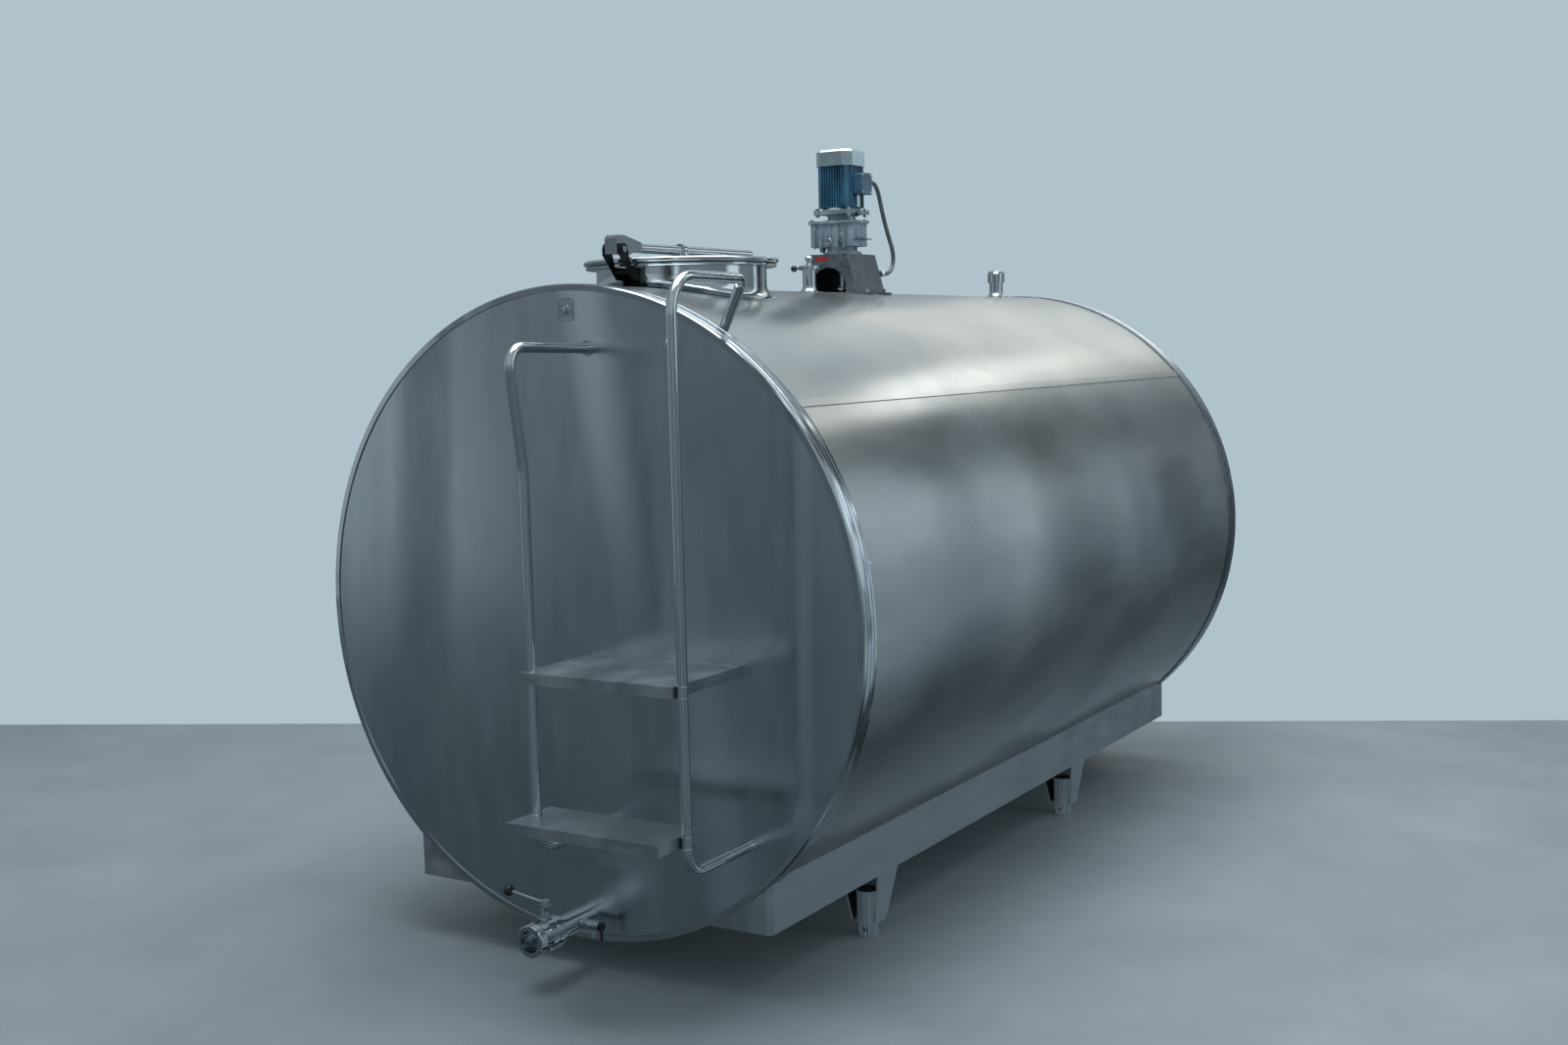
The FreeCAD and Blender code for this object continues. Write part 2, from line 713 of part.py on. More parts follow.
# ---------------------------------------------------------------- ladder
front_face = box((-100, -dim.gap, -800), (200, 50, 1600))
rail_y, rail_low = dim.rail_y.number, dim.rail_low.number
left_x, right_x = dim.left_rail_x.number, dim.right_rail_x.number
left_points = [V(left_x, 0, rail_low), V(left_x, rail_y, rail_low), V(left_x, rail_y, 376),
               V(left_x, rail_y - 42, 655), V(left_x, 0, 648)]


def weld_collar(x, z):
    """The small ring that hides a rail's weld on the head."""
    return tube(18, dim.rail_radius - dim.rail_wall / 2, 3, (x, -3, z), "y")


left_rail = fuse(
    cut(bent_tube(left_points, [55, 300, 45]), front_face),
    weld_collar(left_x, rail_low),
    weld_collar(left_x, left_points[-1].z),
)
node(left_rail, "left_ladder_rail")
foot_angle = math.radians(30.6)
shell_top = dim.shell_radius.number + dim.gap.number
rail_end = V(shell_top * math.sin(foot_angle), 76, shell_top * math.cos(foot_angle))
rail_knee = V(463, 74, 797)
right_start = [V(right_x, 0, rail_low), V(right_x, rail_y, rail_low)]
right_points = right_start + [V(right_x, rail_y, 799), rail_knee, rail_end]
rail_foot = cylinder(dim.shell_radius + dim.gap, 200, (0, 0, 0), "y")
right_rail = fuse(cut(bent_tube(right_points, [55, 85, 30]), rail_foot), weld_collar(right_x, rail_low))
node(right_rail, "right_ladder_rail")


def step(front, back, top):
    """A folded tray: a tread with its edges turned down, notched round the rails."""
    t = dim.step_sheet
    width = dim.step_right - dim.step_left
    tray = cut(
        box((dim.step_left, front, top - dim.step_fold), (width, back - front, dim.step_fold)),
        box((dim.step_left + t, front + t, top - dim.step_fold),
            (width - 2 * t, back - front - 2 * t, dim.step_fold - t)),
    )
    notch = dim.rail_radius + dim.gap
    rails = [cylinder(notch, 200, (x, dim.rail_y, top - 100)) for x in (dim.left_rail_x, dim.right_rail_x)]
    return cut(tray, *rails)


node(step(dim.upper_step_y, -dim.gap, dim.upper_step_z), "upper_step")
node(step(dim.lower_step_y, dim.lower_step_back, dim.lower_step_z), "lower_step")

# ---------------------------------------------------------------- manhole
neck_top, rim = dim.rim_z, dim.rim_radius
bore = dim.manhole_bore
neck_outline = [
    (bore, 700), (neck_radius, 700), (neck_radius, neck_top - 7), (rim - 2, neck_top - 7),
    (rim, neck_top - 5), (rim, neck_top - 2), (rim - 2, neck_top), (bore, neck_top),
]
neck = cut(turned(neck_outline, at=(0, dim.manhole_y, 0)), vessel_form())
node(neck, "manhole_neck")
collar_bore = cylinder(neck_radius + dim.gap, 900, (0, dim.manhole_y, 0))
collar_radius = neck_radius + 5
node(cut(flared_form(dim.manhole_y, collar_radius, neck_top - 7.3, 34), collar_bore), "manhole_collar")

hinge_y, hinge_z = dim.hinge_y, dim.hinge_z


def bracket_ear(x):
    outline = [
        (290, 815), (290, 847), (241, 847), (hinge_y + 16, hinge_z + 3), (hinge_y + 10, hinge_z + 14),
        (hinge_y - 10, hinge_z + 14), (hinge_y - 16, hinge_z + 3), (hinge_y - 16, hinge_z - 14), (250, 815),
    ]
    return padded("YZ_Plane", [outline], 5, at=(x, 0, 0))


web = box((-23, 236, 832), (46, 54, 6))
bracket = cut(
    fuse(bracket_ear(-25), bracket_ear(25), web),
    flared_form(dim.manhole_y, collar_radius, 900, 34),
    cylinder(dim.pin_radius, 80, (-40, hinge_y, hinge_z), "x"),
)
node(bracket, "hinge_bracket")
pin = fuse(
    cylinder(dim.pin_radius, 62, (-31, hinge_y, hinge_z), "x"),
    cylinder(dim.pin_radius + 3, 3, (-31, hinge_y, hinge_z), "x"),
    cylinder(dim.pin_radius + 2, 2, (28.5, hinge_y, hinge_z), "x"),
)
node(pin, "hinge_pin")

lid_outline = [
    (0, 869), (200, 865.5), (214, 863), (246, 863), (246, 866), (215, 866), (200, 868.5), (0, 872),
]
lid = fuse(turned(lid_outline, at=(0, dim.manhole_y, 0)), torus(249, 6, (0, dim.manhole_y, 864.5)))
node(lid, "manhole_lid")
seal_outline = [(222, neck_top + dim.gap), (238, neck_top + dim.gap), (240, 863), (220, 863)]
node(turned(seal_outline, at=(0, dim.manhole_y, 0)), "lid_seal")

bar_start = as_size(300)
lug_outline = [
    (196, hinge_z - 12), (254, hinge_z - 12), (262, 884), (bar_start, 884), (bar_start, 909),
    (228, 925), (204, 925), (196, 917),
]
lug = cut(
    padded("YZ_Plane", [lug_outline], 38),
    cylinder(dim.pin_radius + dim.running, 60, (-30, hinge_y, hinge_z), "x"),
)
stud = cylinder(6, 24, (0, 800, dim.bar_z - 30))
bar_tube = cylinder(dim.bar_radius, dim.bar_end - bar_start, (0, bar_start, dim.bar_z), "y")
node(fuse(lug, bar_tube, stud), "lid_bar")
boss = fuse(
    cylinder(24, 17, (0, dim.manhole_y, 872)),
    cylinder(18, 14, (0, dim.manhole_y - 7, dim.bar_z), "y"),
)
node(cut(boss, cylinder(dim.bar_radius, 60, (0, dim.manhole_y - 30, dim.bar_z), "y")), "lid_boss")

# ---------------------------------------------------------------- spray port
cip_y = dim.cip_y
cip_ferrule = [(20, 862), (25, 862), (25, 865), (23, 868)]
node(port(cip_y, 17, 20, 16, as_size(868), cip_ferrule), "spray_port")
cap_outline = [(0, 868.3), (23, 868.3), (25, 871.3), (25, 874.3), (14, 876), (8, 880), (8, 888), (12, 892),
               (12, 898), (8, 902), (0, 902)]
node(turned(cap_outline, at=(0, cip_y, 0)), "spray_port_cap")
clamp_outline = [(25.3, 862), (30, 862), (31, 865), (31, 871.5), (30, 874.5), (25.3, 874.5)]
clamp_ring = turned(clamp_outline, at=(0, cip_y, 0))
clamp = fuse(
    clamp_ring,
    box((-48, cip_y - 3, 865), (18.5, 6, 6)),
    ball(9, (-52, cip_y, 868)),
    box((-8, cip_y - 44, 865), (16, 14, 6)),
)
node(clamp, "spray_port_clamp")
down_pipe = tube(10, 8.5, 868 - 652, (0, cip_y, 652))
hanger = tube(16.7, 10, 6, (0, cip_y, 862))
sphere = cut(ball(32, (0, cip_y, 628)), ball(30.5, (0, cip_y, 628)), cylinder(8.5, 60, (0, cip_y, 630)))
spray_holes = []
for turn_index in range(8):
    angle = math.radians(45 * turn_index + 22.5)
    hole = cylinder(1.6, 40, (0, cip_y, 628))
    axis = V(math.cos(angle), math.sin(angle), -0.35 if turn_index % 2 else 0.35)
    hole.Placement.Rotation = FreeCAD.Rotation(V(0, 0, 1), axis)
    spray_holes.append(hole)
node(fuse(cut(sphere, *spray_holes), down_pipe, hanger), "spray_ball")

# ---------------------------------------------------------------- air vent
node(port(dim.vent_y, 21, 24, 18, as_size(862)), "vent_neck")
vent_outline = [
    (0, 884), (22.5, 884), (22.5, 862.3), (25.5, 862.3), (25.5, 850), (28, 848), (30, 850), (30, 880),
    (27, 888), (12, 892), (0, 892),
]
node(turned(vent_outline, at=(0, dim.vent_y, 0)), "vent_cap")

# ---------------------------------------------------------------- agitator bracket
agitator_y, top = dim.agitator_y, dim.bracket_top
front_y, back_y = agitator_y - 90, agitator_y + 90


def hood(inset, depth, low):
    """A trapezium block, narrow at the top, centred on the agitator."""
    half_low, half_top = 100 - inset, 63 - inset
    outline = [(-half_low, low), (half_low, low), (half_top, top - inset), (-half_top, top - inset)]
    return padded("XZ_Plane", [outline], depth, at=(0, agitator_y, 0))


foot_tabs = []
stud_places = []
for side in (-1, 1):
    for offset in (-58, 58):
        foot_tabs.append(box((side * 110 - 16, agitator_y + offset - 18, 780), (32, 36, 16)))
        stud_places.append((side * 113, agitator_y + offset))
sheet_hood = cut(hood(0, 180, 780), hood(3, 174, 770))
arch_cutters = [
    cylinder(60, 20, (0, front_y - 10, 812), "y"),
    box((-60, front_y - 10, 770), (120, 20, 42)),
    cylinder(24, 40, (0, agitator_y, 890)),
    cylinder(dim.shell_radius + dim.gap, dim.tank_length, (0, 0, 0), "y"),
]
arch_cutters += [cylinder(4.2, 40, (x, y, 770)) for x, y in stud_places]
node(cut(fuse(sheet_hood, *foot_tabs), *arch_cutters), "agitator_bracket")
fixings = []
for x, y in stud_places:
    fixings.append(fuse(cylinder(4, 15, (x, y, 792)), hexagon(8.5, 7, (x, y, 796.2))))

node(port(agitator_y, 22, 25, 12, as_size(812)), "agitator_port")
bush_outline = [(12.55, 782), (21.9, 782), (21.9, 812.3), (24, 812.3), (24, 816), (12.55, 816)]
bearings = [turned(bush_outline, at=(0, agitator_y, 0))]


# ---------------------------------------------------------------- gears
def gear_outline(teeth, module):
    """A spur gear's outline: involute flanks between root and tip, thinned for backlash."""
    pressure = math.radians(20)
    pitch = teeth * module / 2
    base = pitch * math.cos(pressure)
    root, tip = pitch - 1.25 * module, pitch + 0.95 * module
    half_tooth = math.pi / (2 * teeth) - 0.06 * module / pitch
    involute_at_pitch = math.tan(pressure) - pressure

    def half_angle(radius):
        cosine = min(base / radius, 1.0)
        roll = math.acos(cosine)
        return half_tooth + involute_at_pitch - (math.tan(roll) - roll)

    radii = [root] + [max(root, base) + (tip - max(root, base)) * step / 3 for step in range(4)]
    points = []
    for tooth in range(teeth):
        centre = 2 * math.pi * tooth / teeth
        flank = [(centre - half_angle(r), r) for r in radii]
        flank += [(centre + half_angle(r), r) for r in reversed(radii)]
        points += [V(r * math.cos(a), r * math.sin(a), 0) for a, r in flank]
    kept = [p for i, p in enumerate(points) if (p - points[i - 1]).Length > 0.01]
    return kept + [kept[0]]


def gear(teeth, low, height, at, turn, bore=0):
    """A spur gear as a plain feature, because its flanks follow a formula."""
    count = int(round(teeth.number))
    wire = Part.makePolygon(gear_outline(count, dim.gear_module.number))
    blank = Part.Face(wire).extrude(V(0, 0, height))
    if bore:
        blank = blank.cut(Part.makeCylinder(as_size(bore).number, height))
    thing = doc.addObject("Part::Feature", "gear")
    thing.Shape = blank
    return place(thing, (at[0], at[1], low), FreeCAD.Rotation(V(0, 0, 1), turn))


centre_distance = (dim.wheel_teeth + dim.pinion_teeth) * dim.gear_module / 2
lay_x = -centre_distance
wheel_low, pinion_low = 951, 949.5
upper_low = 976
wheel_pitch = 360 / dim.wheel_teeth.number
pinion_pitch = 360 / dim.pinion_teeth.number
# The output wheel shows a tooth towards the layshaft (at 180 degrees), whose pinion shows a gap to it.
output_turn = 180 % wheel_pitch
lower_pinion_turn = pinion_pitch / 2
# The layshaft's wheel shows a tooth to the motor pinion, which shows a gap back at 180 degrees.
motor_pinion_turn = (180 + pinion_pitch / 2) % pinion_pitch

output_wheel = gear(dim.wheel_teeth, wheel_low, 12, (0, agitator_y), output_turn, dim.shaft_radius)
node(output_wheel, "output_gear")
layshaft = fuse(
    gear(dim.pinion_teeth, pinion_low, 15, (lay_x, agitator_y), lower_pinion_turn),
    gear(dim.wheel_teeth, upper_low, 12, (lay_x, agitator_y), 0),
    cylinder(5, 62, (lay_x, agitator_y, 942)),
    cylinder(9, upper_low - 964.5, (lay_x, agitator_y, 964.5)),
)
node(layshaft, "layshaft_gears")
rotor = fuse(
    gear(dim.pinion_teeth, upper_low - 1.5, 15, (0, agitator_y), motor_pinion_turn),
    cylinder(5, 1206 - upper_low, (0, agitator_y, upper_low - 1.5)),
    cylinder(7, 1200 - 994, (0, agitator_y, 994)),
    cylinder(30, 66, (0, agitator_y, 1084)),
)
node(rotor, "motor_rotor")

shaft = cylinder(dim.shaft_radius, 966 - dim.shaft_bottom, (0, agitator_y, dim.shaft_bottom))
hub_low = dim.shaft_bottom + 4
blades = [shaft, cylinder(21, 90, (0, agitator_y, hub_low))]
for side in (-1, 1):
    blade_outline = [
        (side * 19, hub_low + 6), (side * (dim.paddle_reach - 40), hub_low + 6),
        (side * dim.paddle_reach, hub_low + 40), (side * dim.paddle_reach, hub_low + 84),
        (side * 19, hub_low + 84),
    ]
    blades.append(padded("XZ_Plane", [blade_outline], 4, at=(0, agitator_y, 0)))
node(fuse(*blades), "agitator_shaft")

# ---------------------------------------------------------------- gearbox
casting_x = (-86, 64)
main = padded("XY_Plane", [rounded(casting_x[0], casting_x[1], -50, 50, 14)], 69,
              at=(0, agitator_y, 0), lift=970.5)
spigot = cylinder(46, 24, (0, agitator_y, top))
base_flange = cylinder(58, 8, (0, agitator_y, top))
ribs = []
for x in (-66, -40, -14, 12, 38):
    for y in (-54, 46):
        ribs.append(box((x, agitator_y + y, 940), (5, 8, 63)))
boss_plug = cylinder(15, 8, (52, agitator_y - 20, 962), "x")
sight = cylinder(14, 7, (26, agitator_y - 57, 962), "y")
drain_boss = cylinder(10, 8, (-68, agitator_y, 928))
solid_box = fuse(main, spigot, base_flange, *ribs, sight, drain_boss)
cavity = padded("XY_Plane", [rounded(casting_x[0] + 5, casting_x[1] - 5, -45, 45, 9)], 64,
                at=(0, agitator_y, 0), lift=973)
output_hole = cylinder(20, 60, (0, agitator_y, top))
layshaft_seat = cylinder(10, 2, (lay_x, agitator_y, 939.5))
casting = cut(solid_box, cavity, output_hole, layshaft_seat)
node(casting, "gearbox_housing")
gear_top = dim.gear_top
cover_plate = padded("XY_Plane", [rounded(casting_x[0] - 5, casting_x[1] + 5, -58, 58, 16)], 8,
                     at=(0, agitator_y, 0), lift=gear_top + 4)
cover_neck = turned([(30, gear_top + 8), (52, gear_top + 8), (42, gear_top + 13),
                     (42, dim.motor_flange_z - 5), (50, dim.motor_flange_z), (30, dim.motor_flange_z)],
                    at=(0, agitator_y, 0))

bearings += [
    tube(20, dim.shaft_radius + dim.running, 14, (0, agitator_y, 920)),
    tube(10, 5.05, 7, (lay_x, agitator_y, 939.5)),
    tube(10, 5.05, 6, (lay_x, agitator_y, gear_top - 6)),
    tube(16, 7.05, 8, (0, agitator_y, gear_top)),
    tube(16, 7.05, 10, (0, agitator_y, dim.motor_flange_z + 6)),
    tube(16, 7.05, 10, (0, agitator_y, dim.motor_top - 12)),
]
node(group(*bearings), "shaft_bearings")
fixings.append(hexagon(9, 6, (-68, agitator_y, 922)))
fixings.append(hexagon(8, 5, (26, agitator_y - 62, 962), "y"))

# ---------------------------------------------------------------- motor
flange_z, bell_z, motor_top = dim.motor_flange_z, dim.motor_bell_z, dim.motor_top
half = dim.motor_half
flange_lugs = []
for sx in (-1, 1):
    for sy in (-1, 1):
        flange_lugs.append(cylinder(12, 12, (sx * 53, agitator_y + sy * 53, flange_z)))
flange_plate = padded("XY_Plane", [rounded(-58, 58, -58, 58, 22)], 12,
                      at=(0, agitator_y, 0), lift=flange_z + 6)
bell = turned([(16, flange_z + 12), (60, flange_z + 12), (54, bell_z), (16, bell_z)], at=(0, agitator_y, 0))
flange_holes = [cylinder(16, 60, (0, agitator_y, gear_top))]
for sx in (-1, 1):
    for sy in (-1, 1):
        flange_holes.append(cylinder(4, 40, (sx * 53, agitator_y + sy * 53, flange_z - 5)))
node(cut(fuse(cover_plate, cover_neck, flange_plate, bell, *flange_lugs), *flange_holes), "gearbox_cover")

for sx in (-1, 1):
    for sy in (-1, 1):
        bolt_at = (sx * 53, agitator_y + sy * 53)
        fixings.append(fuse(cylinder(4, 20, (*bolt_at, flange_z - 8)),
                                hexagon(7.5, 6, (*bolt_at, flange_z + 12)),
                                hexagon(7.5, 6, (*bolt_at, flange_z - 6.2))))

for x in (casting_x[0] + 8, casting_x[1] - 8):
    for y in (-46, 46):
        fixings.append(hexagon(6.5, 5, (x, agitator_y + y, gear_top + 8)))


def finned_outline():
    """The motor frame's section: a rounded square with upright fins on all four sides."""
    reach, valley, corner = half.number, half.number - 7, 20
    points = []
    for quarter in range(4):
        turn = FreeCAD.Rotation(V(0, 0, 1), 90 * quarter)
        side_points = [V(-reach + corner - 6, -reach + 6, 0)]
        for index in range(9):
            start = -reach + corner + 1 + index * 8.6
            side_points += [V(start, -valley, 0), V(start + 0.8, -reach, 0),
                            V(start + 3.4, -reach, 0), V(start + 4.2, -valley, 0)]
        side_points.append(V(reach - corner + 6, -reach + 6, 0))
        points += [turn.multVec(p) for p in side_points]
    return points + [points[0]]


frame_height = motor_top.number - bell_z.number
frame = doc.addObject("Part::Feature", "finned_frame")
finned = Part.Face(Part.makePolygon(finned_outline())).extrude(V(0, 0, frame_height))
frame.Shape = finned
place(frame, (0, agitator_y, bell_z))
frame_cutters = [
    cylinder(45, frame_height - 14, (0, agitator_y, bell_z)),
    cylinder(16, frame_height + 4, (0, agitator_y, bell_z)),
    box((50, agitator_y - 31, 1086), (20, 62, 66)),
]
node(cut(frame, *frame_cutters), "motor_frame")
node(tube(44.9, 31, 72, (0, agitator_y, 1081)), "stator_core")

flat = dim.cowl_half.number
corner_cut = flat * 0.62


def octagon(reach, edge):
    return [(-edge, -reach), (edge, -reach), (reach, -edge), (reach, edge),
            (edge, reach), (-edge, reach), (-reach, edge), (-reach, -edge)]


def is_top_rim(edge):
    return all(abs(v.Point.z - dim.cowl_top.number) < 0.01 for v in edge.Vertexes)


cowl_height = dim.cowl_top - motor_top - dim.gap
cowl_block = padded("XY_Plane", [octagon(flat, corner_cut)], cowl_height, at=(0, agitator_y, 0),
                    lift=(dim.cowl_top + motor_top + dim.gap) / 2, chamfer=(is_top_rim, 6))
cowl_room = padded("XY_Plane", [octagon(flat - 2.5, corner_cut - 1)], cowl_height - 5, at=(0, agitator_y, 0),
                   lift=(dim.cowl_top + motor_top + dim.gap) / 2 - 2.5)
air_holes = []
for ring, count in ((12, 6), (24, 12), (36, 18)):
    for index in range(count):
        angle = 2 * math.pi * index / count
        spot = (ring * math.cos(angle), agitator_y + ring * math.sin(angle), 1210)
        air_holes.append(cylinder(2.6, 20, spot))
node(cut(cowl_block, cowl_room, *air_holes), "fan_cowl")

fan = [tube(14, 7, 12, (0, agitator_y, 1180)), tube(42, 13, 2, (0, agitator_y, 1180))]
for index in range(7):
    blade = box((0, 0, 0), (28, 2, 12))
    turn = FreeCAD.Rotation(V(0, 0, 1), 360 / 7 * index)
    start = turn.multVec(V(13, -1, 0)) + V(0, agitator_y.number, 1180)
    blade.Placement = FreeCAD.Placement(start, turn)
    fan.append(blade)
node(fuse(*fan), "cooling_fan")

box_x = as_size(50.3)
box_outline = rounded(agitator_y - 30, agitator_y + 30, 1088, 1150, 6)
terminal = padded("YZ_Plane", [box_outline], 34, lift=box_x + 17)
cover_x = box_x + 34
lid_outline = rounded(agitator_y - 31, agitator_y + 31, 1087, 1151, 7)
box_lid = padded("YZ_Plane", [lid_outline], 5, lift=cover_x + 2.5)
terminal_room = box((box_x + 4, agitator_y - 26, 1092), (30, 52, 54))
node(cut(fuse(terminal, box_lid), terminal_room), "terminal_box")

# ---------------------------------------------------------------- motor conduit
CONDUIT_ROUTE = [
    (72, 1404, 1130), (72, 1434, 1130), (74, 1459, 1103), (76, 1478, 1042), (78, 1509, 975),
    (79, 1541, 924), (80, 1537, 882), (80, 1505, 854), (80, 1466, 854),
]
route = [V(*p) for p in CONDUIT_ROUTE]
route_radii = []
for before, corner, after in zip(route, route[1:], route[2:]):
    shorter = min((corner - before).Length, (after - corner).Length)
    half_turn = (corner - before).getAngle(after - corner) / 2
    route_radii.append(0.45 * shorter / math.tan(half_turn))
print("conduit bend radii", [round(r, 1) for r in route_radii])
conduit = swept(route, route_radii, dim.conduit_radius)
node(conduit, "motor_conduit")
gland = fuse(
    hexagon(11, 7, (72, agitator_y + 30, 1130), "y"),
    cylinder(9, 14, (72, agitator_y + 30, 1130), "y"),
)
socket = fuse(
    cylinder(9, 16, (80, back_y, 854), "y"),
    hexagon(11, 6, (80, back_y, 854), "y"),
)
node(group(gland, socket), "conduit_glands")

# ---------------------------------------------------------------- outlet and valve
out_z, out_bore = dim.outlet_z, dim.outlet_bore
pipe_outer = out_bore + dim.outlet_wall
pipe = cut(
    cylinder(pipe_outer, sump_end + 3 - dim.valve_back, (0, dim.valve_back, out_z), "y"),
    cylinder(out_bore, sump_end - dim.valve_back, (0, dim.valve_back, out_z), "y"),
    vessel_form(),
    cylinder(7, 60, (0, dim.cock_y, out_z), "x"),
)
valve_back, valve_y = dim.valve_back, dim.valve_y


def ring_profile(start, steps, bore=out_bore):
    """A turned outlet piece: (forward distance, radius) steps, with the milk bore through it."""
    outline = [(start, bore)] + [(start - d, r) for d, r in steps] + [(start - steps[-1][0], bore)]
    return turned(outline, at=(0, 0, out_z), axis="y")


rear_half = ring_profile(valve_back, [(0, 30), (12, 30), (18, 38), (30, 38), (32, 42), (45, 42)])
front_start = valve_back - 59
front_steps = [(0, 42), (13, 42), (13, 31.8), (28, 31.8), (31, 33)]
front_half = ring_profile(front_start, front_steps, dim.union_bore)
seat = ring_profile(valve_back - 45, [(0, 40), (14, 40)])
stem_bore = cylinder(8, 80, (0, valve_y, out_z))
node(fuse(pipe, rear_half), "outlet_pipe")
node(cut(seat, stem_bore), "valve_seat")
liner_start = front_start - 31
thread_steps = [(0, 33), (3, 33), (3, 39)]
for groove in (7, 12.5, 18):
    thread_steps += [(groove, 39), (groove + 1, 37.5), (groove + 2.5, 39)]
thread_steps += [(23, 39), (25, 37)]
liner = ring_profile(liner_start, thread_steps, dim.union_bore)
node(fuse(front_half, liner), "outlet_union")
for angle in (45, 135, 225, 315):
    x = 37.6 * math.cos(math.radians(angle))
    z = out_z + 37.6 * math.sin(math.radians(angle))
    fixings.append(hexagon(4.4, 4, (x, valve_back - 72 - 4.2, z), "y"))
node(group(*fixings), "hex_fasteners")

bonnet = cut(
    fuse(cylinder(13, 28, (0, valve_y, out_z + 40.2)), box((-15, valve_y - 11, out_z + 60), (30, 22, 12))),
    cylinder(6 + dim.running, 90, (0, valve_y, out_z)),
    cylinder(42 + dim.gap, 60, (0, valve_y - 30, out_z), "y"),
)
node(bonnet, "valve_bonnet")
disc = cylinder(out_bore - dim.gap, 4, (0, valve_y - 2, out_z), "y")
spindle = cylinder(6, 88, (0, valve_y, out_z - 6))
node(fuse(disc, spindle), "valve_disc")
lever_z = out_z + 77
lever_turn = FreeCAD.Rotation(V(0, 1, 0), -82)


def lever_bar():
    """The lever's round bar, rising a little as it runs out to the left."""
    bar = cylinder(4.5, 106, (0, valve_y, lever_z))
    bar.Placement.Rotation = lever_turn
    return bar


lever_hub = cylinder(11, 12, (0, valve_y, out_z + 72.3))
lever = cut(fuse(lever_hub, lever_bar()), cylinder(6, 10, (0, valve_y, out_z + 72)))
node(lever, "valve_lever")
tip = lever_turn.multVec(V(0, 0, 112))
knob = cut(ball(14, (tip.x, valve_y + tip.y, lever_z + tip.z)), lever_bar())
node(knob, "lever_knob")

# ---------------------------------------------------------------- sample cock
cock_y = dim.cock_y
cock_body = fuse(
    cut(cylinder(9, 30, (0, cock_y, out_z), "x"), cylinder(pipe_outer, 60, (0, cock_y - 30, out_z), "y")),
    hexagon(13, 16, (30, cock_y, out_z), "x"),
    cylinder(12, 34, (46, cock_y, out_z), "x"),
    cylinder(6, 22, (60, cock_y, out_z - 30)),
)
cock_bore = fuse(cylinder(5, 40, (20, cock_y, out_z), "x"), cylinder(3.5, 30, (60, cock_y, out_z - 31)))
node(cut(cock_body, cock_bore), "sample_cock")
handle = fuse(
    cylinder(10, 8, (80.3, cock_y, out_z), "x"),
    box((81.5, cock_y - 3, out_z - 38), (4, 6, 40)),
)
node(handle, "sample_handle")

# ---------------------------------------------------------------- write the sub-parts
doc.recompute()
for thing in doc.Objects:
    if "Invalid" in thing.State or "Error" in thing.State:
        raise RuntimeError(f"{thing.Name} ({thing.Label}) did not build: {thing.State}")
os.makedirs("parts", exist_ok=True)
for thing in nodes:
    if thing.Shape.isNull() or not thing.Shape.isValid() or not thing.Shape.Solids:
        raise RuntimeError(f"{thing.Label} is not a valid solid")
    thing.Shape.exportStep(f"parts/{thing.Label}.step")
print(len(nodes), "sub-parts written")
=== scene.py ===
# %% [markdown]
# # Bulk milk tank
# A farm keeps its milk cold in a tank like this one. Nearly everything on it is stainless steel, so the
# look depends on two things: how each sheet or tube was finished, and what it has to reflect. The solid
# parts come packed as a fixed frame. This lesson gives them their finishes, adds the small pieces that a
# solid model leaves out, and sets up the studio.

import math

import bmesh
import bpy
from mathutils import Matrix, Vector


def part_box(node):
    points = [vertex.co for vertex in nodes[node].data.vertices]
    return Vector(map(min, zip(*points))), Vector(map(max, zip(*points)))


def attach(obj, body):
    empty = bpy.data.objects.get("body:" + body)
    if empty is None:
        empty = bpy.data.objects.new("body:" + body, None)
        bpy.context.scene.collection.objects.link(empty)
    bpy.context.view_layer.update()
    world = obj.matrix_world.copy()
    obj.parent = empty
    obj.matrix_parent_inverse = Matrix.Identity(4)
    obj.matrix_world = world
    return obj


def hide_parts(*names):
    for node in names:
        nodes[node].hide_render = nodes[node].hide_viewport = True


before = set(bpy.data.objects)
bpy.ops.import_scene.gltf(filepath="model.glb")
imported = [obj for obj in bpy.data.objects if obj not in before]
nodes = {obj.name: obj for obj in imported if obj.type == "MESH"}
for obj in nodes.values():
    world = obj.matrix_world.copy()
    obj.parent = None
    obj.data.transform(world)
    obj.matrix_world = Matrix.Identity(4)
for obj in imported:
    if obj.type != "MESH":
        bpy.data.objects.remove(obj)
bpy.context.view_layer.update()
MM = 0.001

# %% [markdown]
# Places are worked out from the solid parts' own boxes. The tank is a round bar lying along Y, so its axis
# and its outside radius follow from the box of the cladding.

# %% Landmarks
shell_low, shell_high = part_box("outer_shell")
axis_z = (shell_low.z + shell_high.z) / 2
shell_radius = (shell_high.z - shell_low.z) / 2
front_y = shell_low.y
print("axis height", round(axis_z, 3), "cladding radius", round(shell_radius, 3))

# %% [markdown]
# The camera stands a little above the tank's axis, in front and to the right, with a slightly long lens and
# a small tilt of the horizon.

# %% Camera
camera = bpy.data.objects.new("camera", bpy.data.cameras.new("camera"))
bpy.context.collection.objects.link(camera)
camera.data.lens = 40.28
camera.data.sensor_width = 36
camera.matrix_world = (
    Matrix.Translation((2.638, -4.533, 1.515))
    @ Matrix.Rotation(math.radians(31.47), 4, "Z")
    @ Matrix.Rotation(math.radians(90 - 5.74), 4, "X")
    @ Matrix.Rotation(math.radians(-1.37), 4, "Z")
)
bpy.context.scene.camera = camera
print("camera", [round(c, 3) for c in camera.location])

# %% [markdown]
# A hex colour, as a paint chart gives it, is coded for screens. A renderer mixes light in linear numbers,
# so one function turns the code into those. A second one adds a shader node, with its settings and links,
# and a third starts a finish.

